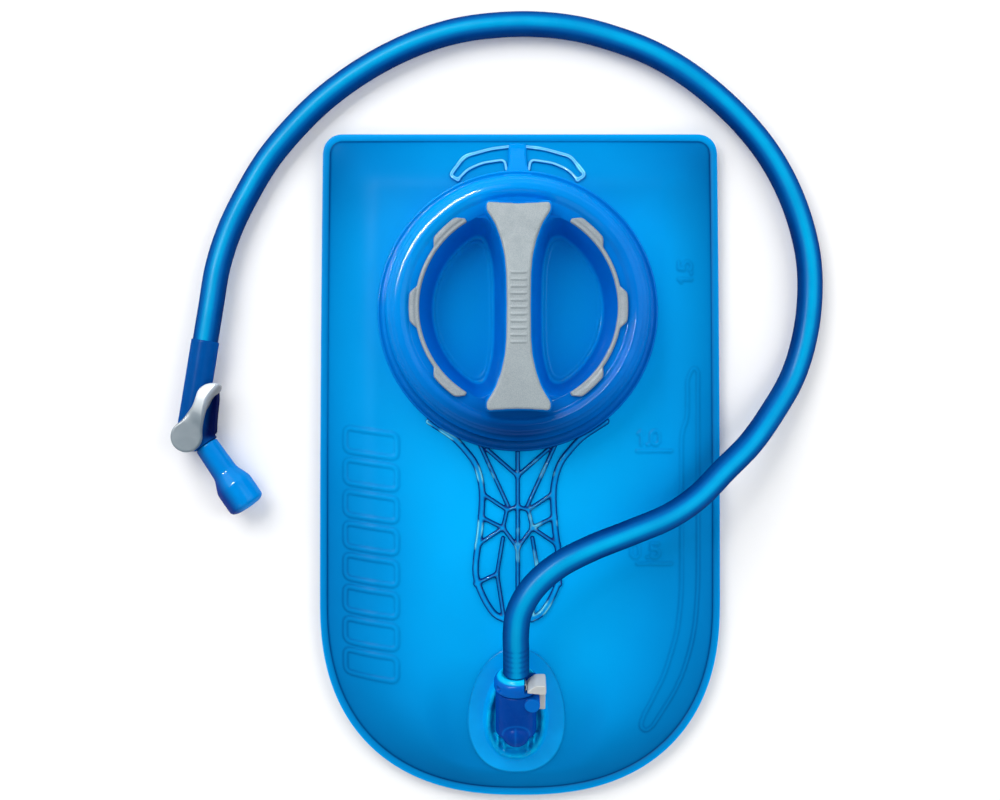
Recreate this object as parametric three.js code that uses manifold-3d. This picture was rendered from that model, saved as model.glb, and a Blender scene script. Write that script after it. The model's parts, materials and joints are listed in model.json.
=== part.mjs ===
// A soft drinking-water reservoir for hiking: a flat film bag with a wide screw cap, a clear
// stiffening lattice, a quick-release outlet, and a drink tube that ends in a shut-off bite valve.
// Units are millimetres and +Z is up. The bag lies on its back, and +Y is its top end.
// The origin is the middle of the bag's footprint, on the surface that it lies on.
import * as THREE from 'three';
import { mergeVertices } from 'three/addons/utils/BufferGeometryUtils.js';
import Module from 'manifold-3d';

const wasm = await Module();
wasm.setup();

// Gap kept between pieces that touch.
const GAP = 0.3;

// Bag: straight sides that draw in a little to the top, square top corners, rounded bottom.
const BAG_LENGTH = 317;
const BAG_HALF_WIDTH = 96;
const BAG_TOP_HALF_WIDTH = 94.5;
const CORNER_RADIUS = 9;
const SHOULDER_Y = -65;
const BOTTOM_POWER = 2.4;
const BAG_TOP_Y = BAG_LENGTH / 2;
const BOTTOM_DEPTH = BAG_TOP_Y + SHOULDER_Y;
const FILM = 0.8;
const WELD_BAND = 3.5;
const SEAM_Z = 6;
const BAG_DEPTH = 20;
const SWELL_REACH = 25;

// Filling collar and cap, round about one upright axis.
const CAP_X = -1.3;
const CAP_Y = 72.9;
const FLANGE_RADIUS = 66;
const FLANGE_THICKNESS = 1.7;
const FLANGE_Z = BAG_DEPTH + GAP;
const NECK_INNER = 47.5;
const NECK_LOW = 16.5;
const NECK_OUTER = 50.5;
const NECK_TOP = 38;
const GASKET_RADIUS = 1.1;
const THREAD_RADIUS = 52.6;
const THREAD_HEIGHTS = [27, 31];
const SKIRT_INNER = 54;
const SKIRT_OUTER = 60.8;
const SKIRT_LOW = 24.5;
const SHOULDER_TOP = 48;
const GRIP_SEAT_Z = 45.7;
const WELL_TOP_RADIUS = 44.6;
const WELL_FLOOR_RADIUS = 39.3;
const WELL_FLOOR_Z = 27;
const HANDLE_LENGTH = 94;
const HANDLE_END_WIDTH = 28.7;
const HANDLE_WAIST = 11.6;
const BRIDGE_TOP = 52.4;
const HANDLE_TOP = 56.5;
const BRIDGE_WEB = 8.4;
const STEM_WIDTH = 9;
const STEM_START_Y = 132;
const STEM_END_Y = 155;

// Grip arcs on the cap: three scallops to each.
const GRIP_INNER = 44.9;
const GRIP_OUTER = 46.4;
const SCALLOP_DEPTH = 3.2;
const GRIP_HALF_ANGLE = THREE.MathUtils.degToRad(60);
const GRIP_STEPS = 36;

// Clear lattice below the collar.
const RIB_WIDTH = 2.3;
const RIB_HEIGHT = 1.5;

// The films' skins are drawn as rings of points, this far in from the weld's edge.
const SKIN_INSETS = [0, WELD_BAND, 7.5, 13, 20, 30];

// The front film lies down to the outlet's seat within this oval.
const SEAT_HALF_WIDTH = 30;
const SEAT_HALF_LENGTH = 38;

// Outlet: a tilted flange, and a port that points up the bag and away from it.
const OUTLET_X = -2.2;
const OUTLET_SEAT_Y = -95;
const OUTLET_SEAT_TILT = THREE.MathUtils.degToRad(6);
const OUTLET_PLATE = 1.5;
const OUTLET_HOUSING = 8.5;
const OUTLET_MIDDLE_Y = -113.6;
const OUTLET_STEM_Y = -122;
const OUTLET_STEM_RADIUS = 6;
const OUTLET_HOLE_RADIUS = 7;
const PORT_Y = -113;
const PORT_Z = 31.5;
const PORT_TILT = THREE.MathUtils.degToRad(20);
const PORT_RADIUS = 9.45;
const PORT_BACK = -10;
const PORT_MOUTH = 12.5;
const PORT_DOME_RADIUS = 6.5;
const SOCKET_RADIUS = 6.3;
const SOCKET_FLOOR = -2.5;
const SEAT_HOLE_RADIUS = 4;
const CHAMBER_RADIUS = 5.2;
const CHAMBER_TOP = -4.1;
const CHAMBER_BACK = -12;
const STEM_BORE_RADIUS = 3.4;
const SPIGOT_RADIUS = 5.9;
const CONNECTOR_COLLAR_START = 12.8;
const CONNECTOR_COLLAR_RADIUS = 10.2;
const CONNECTOR_COLLAR_END = 20.5;

// Drink tube.
const TUBE_OUTER = 6;
const TUBE_BORE = 4;
const TUBE_STEPS = 46;
const TUBE_SIDES = 8;
const BARB_ROOT = 3.1;
const BARB_RADIUS = 3.45;

// Bite valve: the tube comes in from the top, turns at the core and leaves to the lower right.
const VALVE_Z = 9.5;
const TUBE_END = new THREE.Vector2(-150.5, 58.2);
const CORE = new THREE.Vector2(-157.7, 13.7);
const BEND = new THREE.Vector2(-156.8, 19.5);
const MOUTHPIECE_START = new THREE.Vector2(-149.9, 9.5);
const MOUTHPIECE_ANGLE = THREE.MathUtils.degToRad(-55.5);
const MOUTHPIECE_LENGTH = 36.2;
const SLEEVE_RADIUS = 6.3;
const CORE_RADIUS = 4.9;
const CORE_BORE = 5.15;
const CORE_LOW = 3.6;
const CORE_TOP = 15.6;
const WATERWAY = 2;
const SPIGOT_TO_MOUTH = 4.3;
const LEVER_LOW = 16;
const LEVER_TOP = 18.6;
const LEVER_DISC = 7.4;
const THUMB_SKIRT_LOW = 12.6;
const GUARD_LOW = 4.5;
const GUARD_TOP = 12.2;

// ---------------------------------------------------------------- solids

const Y_AXIS = new THREE.Vector3(0, 1, 0);
const { smoothstep, lerp } = THREE.MathUtils;

// A closed geometry as a solid with shared corners and its faces pointing out.
function solid(geometry) {
  const bare = new THREE.BufferGeometry();
  bare.setAttribute('position', geometry.getAttribute('position'));
  if (geometry.index) bare.setIndex(geometry.index);
  const merged = mergeVertices(bare, 1e-4);
  const points = merged.getAttribute('position').array;
  const triangles = [];
  let volume = 0;
  for (let i = 0; i < merged.index.count; i += 3) {
    const corners = [0, 1, 2].map((k) => merged.index.getX(i + k));
    if (new Set(corners).size < 3) continue;
    const [a, b, c] = corners.map((k) => new THREE.Vector3().fromArray(points, 3 * k));
    volume += a.dot(b.cross(c));
    triangles.push(...corners);
  }
  if (volume < 0) triangles.reverse();
  const vertProperties = new Float32Array(points);
  const triVerts = new Uint32Array(triangles);
  return new wasm.Manifold(new wasm.Mesh({ numProp: 3, vertProperties, triVerts }));
}

function fuse(...solids) {
  return solids.reduce((whole, piece) => whole.add(piece));
}

function cut(body, ...tools) {
  return tools.reduce((rest, tool) => rest.subtract(tool), body);
}

function geometryOf(body) {
  const { vertProperties, triVerts } = body.getMesh();
  const geometry = new THREE.BufferGeometry();
  geometry.setAttribute('position', new THREE.BufferAttribute(new Float32Array(vertProperties), 3));
  geometry.setIndex(new THREE.BufferAttribute(new Uint32Array(triVerts), 1));
  geometry.computeVertexNormals();
  return geometry;
}

// A cylinder along Z.
function post(radius, low, high, x = 0, y = 0, sides = 24) {
  const geometry = new THREE.CylinderGeometry(radius, radius, high - low, sides);
  return solid(geometry.rotateX(Math.PI / 2).translate(x, y, (low + high) / 2));
}

// A cylinder between two points.
function rod(radius, from, to, sides = 16) {
  const along = to.clone().sub(from);
  const geometry = new THREE.CylinderGeometry(radius, radius, along.length(), sides);
  const turn = new THREE.Quaternion().setFromUnitVectors(Y_AXIS, along.clone().normalize());
  geometry.applyQuaternion(turn);
  geometry.translate(...from.clone().add(to).multiplyScalar(0.5).toArray());
  return solid(geometry);
}

function block(width, length, height, x, y, z) {
  return solid(new THREE.BoxGeometry(width, length, height).translate(x, y, z));
}

// A profile of [radius, height] pairs turned about Z.
function turned(profile, segments = 40) {
  const points = profile.map(([radius, height]) => new THREE.Vector2(radius, height));
  return solid(new THREE.LatheGeometry(points, segments).rotateX(Math.PI / 2));
}

// The same profile turned about +Y, for pieces on the port's and the mouthpiece's axis.
function turnedAlongY(profile, segments = 24) {
  const points = profile.map(([radius, height]) => new THREE.Vector2(radius, height));
  return solid(new THREE.LatheGeometry(points, segments));
}

function slab(shape, low, high, curveSegments = 6) {
  const options = { depth: high - low, bevelEnabled: false, curveSegments };
  return solid(new THREE.ExtrudeGeometry(shape, options).translate(0, 0, low));
}

// A closed round section as a profile, for seal rings.
function ringProfile(middle, height, radius, sides = 6) {
  const profile = [];
  for (let i = 0; i <= sides; i += 1) {
    const angle = (2 * Math.PI * i) / sides;
    profile.push([middle + radius * Math.cos(angle), height + radius * Math.sin(angle)]);
  }
  return profile;
}

// A helical spring about +Y, as a five-sided wire.
class Helix extends THREE.Curve {
  constructor(radius, low, high, turns) {
    super();
    Object.assign(this, { radius, low, high, turns });
  }

  getPoint(t) {
    const angle = 2 * Math.PI * this.turns * t;
    const x = this.radius * Math.cos(angle);
    const z = this.radius * Math.sin(angle);
    return new THREE.Vector3(x, lerp(this.low, this.high, t), z);
  }
}

function disc(radius, sides) {
  const shape = new THREE.Shape();
  for (let i = 0; i < sides; i += 1) {
    const angle = (2 * Math.PI * (i + 0.5)) / sides;
    const x = radius * Math.cos(angle);
    const y = radius * Math.sin(angle);
    if (i) shape.lineTo(x, y);
    else shape.moveTo(x, y);
  }
  shape.closePath();
  return shape;
}

function sweep(shape, curve, steps) {
  return solid(new THREE.ExtrudeGeometry(shape, { extrudePath: curve, steps, bevelEnabled: false }));
}

// ---------------------------------------------------------------- bag films

function halfWidth(y) {
  const up = (y - SHOULDER_Y) / (BAG_TOP_Y - SHOULDER_Y);
  if (up >= 0) return lerp(BAG_HALF_WIDTH, BAG_TOP_HALF_WIDTH, up * up);
  const down = Math.min((SHOULDER_Y - y) / BOTTOM_DEPTH, 1);
  return BAG_HALF_WIDTH * (1 - down ** BOTTOM_POWER) ** (1 / BOTTOM_POWER);
}

// The weld outline, anticlockwise from the right shoulder.
function bagOutline() {
  const right = [];
  const cornerX = BAG_TOP_HALF_WIDTH - CORNER_RADIUS;
  const cornerY = BAG_TOP_Y - CORNER_RADIUS;
  for (let i = 1; i <= 11; i += 1) {
    const angle = -(Math.PI / 2) * (1 - i / 12);
    const power = 2 / BOTTOM_POWER;
    const x = BAG_HALF_WIDTH * Math.cos(angle) ** power;
    const y = SHOULDER_Y - BOTTOM_DEPTH * Math.abs(Math.sin(angle)) ** power;
    right.push([x, y]);
  }
  for (let i = 0; i <= 6; i += 1) {
    const y = lerp(SHOULDER_Y, cornerY, i / 6);
    right.push([halfWidth(y), y]);
  }
  for (let i = 1; i <= 3; i += 1) {
    const angle = (Math.PI / 2) * (i / 3);
    const x = cornerX + CORNER_RADIUS * Math.cos(angle);
    const y = cornerY + CORNER_RADIUS * Math.sin(angle);
    right.push([x, y]);
  }
  for (let i = 1; i <= 4; i += 1) right.push([cornerX * (1 - i / 5), BAG_TOP_Y]);
  const left = right.map(([x, y]) => [-x, y]).reverse();
  return [[0, -BAG_TOP_Y], ...right, [0, BAG_TOP_Y], ...left];
}

function rise(gap) {
  const share = THREE.MathUtils.clamp((gap - WELD_BAND) / SWELL_REACH, 0, 1);
  return Math.sin((share * Math.PI) / 2) ** 0.9;
}

// How far the films have parted at a point: 0 on the weld band and 1 over the middle of the bag.
function swell(x, y) {
  const down = Math.max(SHOULDER_Y - y, 0) / BOTTOM_DEPTH;
  const across = Math.abs(x) / (y > SHOULDER_Y ? halfWidth(y) : BAG_HALF_WIDTH);
  const reach = (across ** BOTTOM_POWER + down ** BOTTOM_POWER) ** (1 / BOTTOM_POWER);
  return rise((1 - reach) * BOTTOM_DEPTH) * rise(BAG_TOP_Y - y);
}

// The plane that the outlet flange rests on.
function outletSeat(y) {
  return FLANGE_Z + (y - OUTLET_SEAT_Y) * Math.tan(OUTLET_SEAT_TILT);
}

function frontTop(x, y) {
  const dome = lerp(SEAM_Z + FILM, BAG_DEPTH, swell(x, y));
  const away = Math.hypot((x - OUTLET_X) / SEAT_HALF_WIDTH, (y - PORT_Y) / SEAT_HALF_LENGTH);
  const seated = 1 - smoothstep(away, 1, 1.5);
  return lerp(dome, Math.min(dome, outletSeat(y) - 2 * GAP), seated);
}

function backTop(x, y) {
  return lerp(SEAM_Z - GAP, FILM, swell(x, y));
}

// A thin skin over the whole outline, its upper side given by a height function.
function filmSkin(heightAt) {
  const outline = bagOutline();
  const count = outline.length;
  const points = [];
  for (const drop of [0, FILM]) {
    for (const inset of SKIN_INSETS) {
      for (const [x, y] of outline) {
        const scale = 1 - inset / Math.hypot(x, y);
        points.push(x * scale, y * scale, heightAt(x * scale, y * scale) - drop);
      }
    }
    points.push(0, 0, heightAt(0, 0) - drop);
  }
  const perSide = SKIN_INSETS.length * count + 1;
  const triangles = [];
  for (let side = 0; side < 2; side += 1) {
    const start = side * perSide;
    const face = (a, b, c) => triangles.push(start + a, start + (side ? c : b), start + (side ? b : c));
    for (let i = 0; i < count; i += 1) {
      const next = (i + 1) % count;
      for (let ring = 0; ring < SKIN_INSETS.length - 1; ring += 1) {
        const outer = ring * count;
        face(outer + i, outer + next, outer + count + next);
        face(outer + i, outer + count + next, outer + count + i);
      }
      const inner = (SKIN_INSETS.length - 1) * count;
      face(inner + i, inner + next, perSide - 1);
    }
  }
  for (let i = 0; i < count; i += 1) {
    const next = (i + 1) % count;
    triangles.push(i, perSide + i, perSide + next, i, perSide + next, next);
  }
  const geometry = new THREE.BufferGeometry();
  geometry.setAttribute('position', new THREE.BufferAttribute(new Float32Array(points), 3));
  geometry.setIndex(triangles);
  return solid(geometry);
}

function backFilm() {
  return filmSkin(backTop);
}

function frontFilm() {
  const fillHole = post(NECK_OUTER + 2 * GAP, 0, 40, CAP_X, CAP_Y, 40);
  const outletHole = post(OUTLET_HOLE_RADIUS, 0, 40, OUTLET_X, OUTLET_STEM_Y, 24);
  return cut(filmSkin(frontTop), fillHole, outletHole);
}

// A raised strip that follows the front film along a path of [x, y] points. Its section is a
// closed list of [sideways, height] pairs.
function filmStrip(path, section, steps) {
  const curve = new THREE.CatmullRomCurve3(path.map(([x, y]) => new THREE.Vector3(x, y, 0)));
  const points = [];
  for (let i = 0; i <= steps; i += 1) {
    const middle = curve.getPointAt(i / steps);
    const along = curve.getTangentAt(i / steps);
    for (const [side, height] of section) {
      const x = middle.x + along.y * side;
      const y = middle.y - along.x * side;
      points.push(x, y, frontTop(x, y) + 0.6 + height);
    }
  }
  const count = section.length;
  const triangles = [];
  for (let i = 0; i < steps; i += 1) {
    for (let k = 0; k < count; k += 1) {
      const a = i * count + k;
      const b = i * count + ((k + 1) % count);
      triangles.push(a, b, b + count, a, b + count, a + count);
    }
  }
  const ends = section.map(([x, y]) => new THREE.Vector2(x, y));
  for (const [a, b, c] of THREE.ShapeUtils.triangulateShape(ends, [])) {
    triangles.push(a, c, b);
    triangles.push(steps * count + a, steps * count + b, steps * count + c);
  }
  const geometry = new THREE.BufferGeometry();
  geometry.setAttribute('position', new THREE.BufferAttribute(new Float32Array(points), 3));
  geometry.setIndex(triangles);
  return solid(geometry);
}

// ---------------------------------------------------------------- clear stiffeners

const mirrored = ([x, y]) => [2 * CAP_X - x, y];

// One side's outline of the tongue, from the collar down to its tip.
const TONGUE_SIDE = [[-42.9, 20.9], [-30.7, 13.1], [-20.8, 1.4], [-18, -9.4], [-18, -17.9], [-19, -31],
  [-20.8, -42.7], [-21.3, -50.7], [-19.5, -57.3], [-15.7, -65.2], [-11, -71.3], [CAP_X, -72.7]];

// One side's inner ribs, each a run of points.
const TONGUE_RIBS = [
  [[CAP_X, -4.7], [-15.7, 7.4]],
  [[-19, 9.4], [-5.9, -18.6]],
  [[CAP_X, -19.2], [-6.3, -20.6], [-8.2, -29.1], [CAP_X, -38.5]],
  [[-17.6, -13.2], [-6.3, -20.6]],
  [[-8.2, -29.1], [-18.4, -24]],
  [[-8.2, -29.1], [-20, -37]],
  [[-8.2, -33.8], [-11, -50.7], [-21.1, -55.4]],
  [[-11, -50.7], [-7.7, -72]],
];

function latticeTongue() {
  const low = FLANGE_Z;
  const high = low + RIB_HEIGHT;
  const ribs = [];
  const addRun = (run) => {
    for (let i = 0; i + 1 < run.length; i += 1) {
      const [ax, ay] = run[i];
      const [bx, by] = run[i + 1];
      const length = Math.hypot(bx - ax, by - ay);
      const bar = new THREE.BoxGeometry(length, RIB_WIDTH, RIB_HEIGHT);
      bar.rotateZ(Math.atan2(by - ay, bx - ax));
      ribs.push(solid(bar.translate((ax + bx) / 2, (ay + by) / 2, (low + high) / 2)));
      if (i + 2 < run.length) ribs.push(post(RIB_WIDTH / 2, low, high, bx, by, 6));
    }
  };
  for (const run of [TONGUE_SIDE, ...TONGUE_RIBS]) {
    addRun(run);
    addRun(run.map(mirrored));
  }
  addRun([[CAP_X, 8], [CAP_X, -66]]);
  const collarRoom = post(FLANGE_RADIUS + GAP, low - 1, high + 1, CAP_X, CAP_Y, 40);
  return cut(fuse(...ribs), collarRoom);
}

// A clear arch with two raised ridges, beside the stem.
function arch(side) {
  const path = [[-6.5, 148.3], [-15.5, 147.6], [-25, 143.6], [-31.7, 136.6]];
  const section = [[-2.8, 0], [2.8, 0], [2.8, 0.7], [2.3, 1.7], [1.3, 1.7], [0.7, 0.7],
    [-0.7, 0.7], [-1.3, 1.7], [-2.3, 1.7], [-2.8, 0.7]];
  const points = side < 0 ? path : path.map(mirrored);
  return filmStrip(points, section, 10);
}

// ---------------------------------------------------------------- filling collar and cap

function fillCollar() {
  const flangeTop = FLANGE_Z + FLANGE_THICKNESS;
  const profile = [[NECK_INNER, NECK_LOW], [NECK_OUTER, NECK_LOW], [NECK_OUTER, FLANGE_Z],
    [FLANGE_RADIUS, FLANGE_Z], [FLANGE_RADIUS, FLANGE_Z + 0.8], [FLANGE_RADIUS - 1.2, flangeTop],
    [NECK_OUTER, flangeTop + 0.5]];
  for (const height of THREAD_HEIGHTS) {
    profile.push([NECK_OUTER, height - 1.4], [THREAD_RADIUS, height - 0.5]);
    profile.push([THREAD_RADIUS, height + 0.5], [NECK_OUTER, height + 1.4]);
  }
  profile.push([NECK_OUTER, NECK_TOP], [NECK_INNER, NECK_TOP], [NECK_INNER, NECK_LOW]);
  const ring = turned(profile);
  const half = STEM_WIDTH / 2;
  const section = [[-half, 0], [half, 0], [half, 1.8], [half - 1.2, 2.8], [1.2 - half, 2.8],
    [-half, 1.8]];
  const stem = filmStrip([[CAP_X, STEM_START_Y], [CAP_X, STEM_END_Y]], section, 8);
  return fuse(ring.translate([CAP_X, CAP_Y, 0]), stem);
}

function capGasket() {
  const middle = (NECK_INNER + NECK_OUTER) / 2;
  return turned(ringProfile(middle, NECK_TOP + GAP + GASKET_RADIUS, GASKET_RADIUS));
}

function capShell() {
  const under = NECK_TOP + 2 * GASKET_RADIUS + 2 * GAP;
  const floorUnder = WELL_FLOOR_Z - 2.2;
  const profile = [[0, WELL_FLOOR_Z], [WELL_FLOOR_RADIUS, WELL_FLOOR_Z],
    [WELL_TOP_RADIUS - 0.8, GRIP_SEAT_Z - 1.2], [WELL_TOP_RADIUS, GRIP_SEAT_Z], [50.4, GRIP_SEAT_Z],
    [51.6, SHOULDER_TOP - 0.6], [54, SHOULDER_TOP], [57.2, SHOULDER_TOP - 1.2],
    [59.4, SHOULDER_TOP - 4], [60.4, 40], [SKIRT_OUTER, 34], [SKIRT_OUTER, SKIRT_LOW],
    [SKIRT_OUTER - 2, SKIRT_LOW], [58.4, 36], [SKIRT_INNER, under], [46.3, under], [45.9, 38],
    [41.8, 25.6], [40.6, floorUnder], [0, floorUnder]];
  return turned(profile);
}

// The handle's plan: flared ends with rounded tips, and a narrow waist between them.
function handlePlan(grow) {
  const endX = HANDLE_END_WIDTH / 2 + grow;
  const endY = HANDLE_LENGTH / 2 + grow;
  const waistX = HANDLE_WAIST / 2 + grow;
  const shape = new THREE.Shape();
  shape.moveTo(waistX, 0);
  shape.bezierCurveTo(waistX, endY * 0.42, waistX + 2.5, endY * 0.66, endX - 1, endY - 5);
  shape.quadraticCurveTo(endX + 1.2, endY - 1.5, endX - 2.5, endY - 0.6);
  shape.quadraticCurveTo(0, endY + 0.6, -endX + 2.5, endY - 0.6);
  shape.quadraticCurveTo(-endX - 1.2, endY - 1.5, -endX + 1, endY - 5);
  shape.bezierCurveTo(-waistX - 2.5, endY * 0.66, -waistX, endY * 0.42, -waistX, 0);
  shape.bezierCurveTo(-waistX, -endY * 0.42, -waistX - 2.5, -endY * 0.66, -endX + 1, -endY + 5);
  shape.quadraticCurveTo(-endX - 1.2, -endY + 1.5, -endX + 2.5, -endY + 0.6);
  shape.quadraticCurveTo(0, -endY - 0.6, endX - 2.5, -endY + 0.6);
  shape.quadraticCurveTo(endX + 1.2, -endY + 1.5, endX - 1, -endY + 5);
  shape.bezierCurveTo(waistX + 2.5, -endY * 0.66, waistX, -endY * 0.42, waistX, 0);
  return shape;
}

// The bridge stands on the well's floor and reaches out over the grip seat at both ends.
function capBridge() {
  const upper = slab(handlePlan(-0.7), GRIP_SEAT_Z + GAP, BRIDGE_TOP);
  const webLow = WELL_FLOOR_Z + 1;
  const webTop = BRIDGE_TOP - 1;
  const webLength = 2 * (WELL_FLOOR_RADIUS - 3);
  const web = block(BRIDGE_WEB, webLength, webTop - webLow, 0, 0, (webLow + webTop) / 2);
  const well = turned([[0, WELL_FLOOR_Z + GAP], [WELL_FLOOR_RADIUS - GAP, WELL_FLOOR_Z + GAP],
    [WELL_TOP_RADIUS - 1.3, GRIP_SEAT_Z - 1.1], [0, GRIP_SEAT_Z - 1.1]]);
  const below = slab(handlePlan(-2), WELL_FLOOR_Z, BRIDGE_TOP - 1).intersect(well);
  return fuse(upper, web, below);
}

function handlePad() {
  const step = BRIDGE_TOP + GAP;
  const lower = slab(handlePlan(0), step, HANDLE_TOP - 1);
  const crown = slab(handlePlan(-0.9), HANDLE_TOP - 1, HANDLE_TOP);
  return fuse(lower, crown);
}

// A grip arc with three scallops on its outer edge.
function gripInsert(side) {
  const shape = new THREE.Shape();
  const at = (angle, radius) => [side * radius * Math.cos(angle), radius * Math.sin(angle)];
  for (let i = 0; i <= GRIP_STEPS; i += 1) {
    const angle = lerp(-GRIP_HALF_ANGLE, GRIP_HALF_ANGLE, i / GRIP_STEPS);
    const scallop = SCALLOP_DEPTH * Math.max(Math.cos(angle * 8), 0) ** 0.8;
    const fade = smoothstep(GRIP_HALF_ANGLE - Math.abs(angle), 0, 0.06);
    const [x, y] = at(angle, lerp(GRIP_INNER + 0.5, GRIP_OUTER + scallop, fade));
    if (i) shape.lineTo(x, y);
    else shape.moveTo(x, y);
  }
  for (let i = 0; i <= GRIP_STEPS / 2; i += 1) {
    const angle = lerp(GRIP_HALF_ANGLE, -GRIP_HALF_ANGLE, (2 * i) / GRIP_STEPS);
    shape.lineTo(...at(angle, GRIP_INNER));
  }
  shape.closePath();
  const bridgeRoom = slab(handlePlan(1), GRIP_SEAT_Z, BRIDGE_TOP);
  return cut(slab(shape, GRIP_SEAT_Z + GAP, GRIP_SEAT_Z + 2), bridgeRoom);
}

// ---------------------------------------------------------------- outlet and hose connector

// Egg-shaped plan, wider at the bottom.
function eggPlan(halfWide, halfLong, taper) {
  const shape = new THREE.Shape();
  for (let i = 0; i < 32; i += 1) {
    const angle = (2 * Math.PI * i) / 32;
    const wide = Math.sign(Math.cos(angle)) * Math.abs(Math.cos(angle)) ** 0.85;
    const x = halfWide * wide * (1 - taper * Math.sin(angle));
    const y = halfLong * Math.sin(angle);
    if (i) shape.lineTo(x, y);
    else shape.moveTo(x, y);
  }
  shape.closePath();
  return shape;
}

// Places a solid drawn along +Y at the port, whose axis leans up from the bag.
function atPort(body) {
  return body.rotate([THREE.MathUtils.radToDeg(PORT_TILT), 0, 0]).translate([OUTLET_X, PORT_Y, PORT_Z]);
}

// A cylinder on the port's axis, between two distances from the port's middle.
function alongPort(radius, low, high) {
  const cylinder = new THREE.CylinderGeometry(radius, radius, high - low, 24);
  return atPort(solid(cylinder.translate(0, (low + high) / 2, 0)));
}

function portOutside(grow) {
  const dome = new THREE.SphereGeometry(PORT_DOME_RADIUS + grow, 16, 12);
  dome.translate(0, PORT_BACK, 0);
  return fuse(alongPort(PORT_RADIUS + grow, PORT_BACK, PORT_MOUTH), atPort(solid(dome)));
}

function outletFlange() {
  const tilt = THREE.MathUtils.radToDeg(OUTLET_SEAT_TILT);
  const seat = [OUTLET_X + 0.4, OUTLET_MIDDLE_Y, outletSeat(OUTLET_MIDDLE_Y)];
  const plate = slab(eggPlan(23, 30, 0.12), 0, OUTLET_PLATE).translate([0, -1.8, 0]);
  const housing = slab(eggPlan(14, 20.5, 0.1), 0.5, OUTLET_HOUSING).translate([-0.4, -3.4, 0]);
  const whole = fuse(plate, housing).rotate([tilt, 0, 0]).translate(seat);
  const mouthRoom = atPort(block(23, 30, 24, 0, PORT_MOUTH + 14, 0));
  const stemRoom = post(OUTLET_STEM_RADIUS + GAP, 0, 40, OUTLET_X, OUTLET_STEM_Y, 24);
  return cut(whole, portOutside(GAP), mouthRoom, stemRoom);
}

// The stem passes down through the film, and its bore lets water up into the chamber.
function outletPort() {
  const stem = post(OUTLET_STEM_RADIUS, 14, PORT_Z - 3, OUTLET_X, OUTLET_STEM_Y, 24);
  const lug = atPort(post(3.4, 3, 9, 7.3, 8.8, 16));
  const socket = alongPort(SOCKET_RADIUS, SOCKET_FLOOR, PORT_MOUTH + 1);
  const seatHole = alongPort(SEAT_HOLE_RADIUS, CHAMBER_TOP - 0.5, SOCKET_FLOOR + 0.5);
  const chamber = alongPort(CHAMBER_RADIUS, CHAMBER_BACK, CHAMBER_TOP);
  const stemBore = post(STEM_BORE_RADIUS, 13, PORT_Z - 4, OUTLET_X, OUTLET_STEM_Y, 24);
  return cut(fuse(portOutside(0), stem, lug), socket, seatHole, chamber, stemBore);
}

// The poppet's rod is pushed back by the bar in the connector's spigot.
const POPPET_BACK = -9;
const POPPET_FACE = -7.5;
const POPPET_RADIUS = 4.8;
const POPPET_ROD = 1.6;
const COIL_RADIUS = 3.3;
const COIL_WIRE = 0.35;

function poppet() {
  const profile = [[0, POPPET_BACK], [POPPET_RADIUS, POPPET_BACK],
    [POPPET_RADIUS, POPPET_FACE - 0.5], [POPPET_RADIUS - 0.6, POPPET_FACE],
    [POPPET_ROD, POPPET_FACE], [POPPET_ROD, SOCKET_FLOOR], [0, SOCKET_FLOOR]];
  return atPort(turnedAlongY(profile));
}

function poppetSpring() {
  const clear = COIL_WIRE + GAP;
  const coil = new Helix(COIL_RADIUS, CHAMBER_BACK + clear, POPPET_BACK - clear, 2.25);
  return atPort(sweep(disc(COIL_WIRE, 5), coil, 22));
}

function hoseConnector() {
  const collar = CONNECTOR_COLLAR_RADIUS;
  const start = CONNECTOR_COLLAR_START;
  const profile = [[3.6, -2.2], [SPIGOT_RADIUS, -2.2], [SPIGOT_RADIUS, 2], [SPIGOT_RADIUS - 1, 2],
    [SPIGOT_RADIUS - 1, 4], [SPIGOT_RADIUS, 4], [SPIGOT_RADIUS, start], [collar - 0.9, start],
    [collar, start + 1], [collar, 17.4], [collar - 0.8, 19.3], [8, CONNECTOR_COLLAR_END],
    [BARB_ROOT, CONNECTOR_COLLAR_END]];
  for (const ridge of [22, 27]) {
    profile.push([BARB_ROOT, ridge], [BARB_RADIUS, ridge + 0.6], [BARB_ROOT, ridge + 3.2]);
  }
  profile.push([BARB_ROOT, 32], [2.5, 32], [2.5, 7], [3.6, 6], [3.6, -2.2]);
  const bar = block(7.6, 1.4, 1.4, 0, -1.4, 0);
  const pocket = block(12, 6, 16, 9.4, 18, 5);
  const legRoom = block(6, 12.2, 9, 12.2, 9.1, -0.6);
  return atPort(cut(fuse(turnedAlongY(profile), bar), pocket, legRoom));
}

function connectorOring() {
  return atPort(turnedAlongY(ringProfile(5.55, 3, 0.6)));
}

// The latch: a thumb head in the collar's pocket and a leg that hooks behind the port's lug.
// The head's underside rises inwards, so it clears the pocket's floor when the head is pressed.
function releaseButton() {
  const head = new THREE.Shape();
  head.moveTo(5.2, 16.2);
  head.lineTo(13.4, 15.3);
  head.lineTo(13.4, 18);
  head.quadraticCurveTo(13.4, 20, 11.4, 20);
  head.lineTo(9, 20);
  head.lineTo(5.4, 17);
  head.closePath();
  const leg = block(2.8, 13.8, 5, 12, 9.3, -0.8);
  return atPort(fuse(slab(head, -0.4, 10.6), leg));
}

// A thin bowed leaf between the pocket's wall and the button's head.
function buttonSpring() {
  const bow = new THREE.Shape();
  bow.moveTo(3.75, 15.2);
  bow.quadraticCurveTo(5.1, 17, 3.75, 18.8);
  bow.lineTo(4.1, 19);
  bow.quadraticCurveTo(5.7, 17, 4.1, 15);
  bow.closePath();
  return atPort(slab(bow, 2, 7, 5));
}

// ---------------------------------------------------------------- drink tube and bite valve

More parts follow.
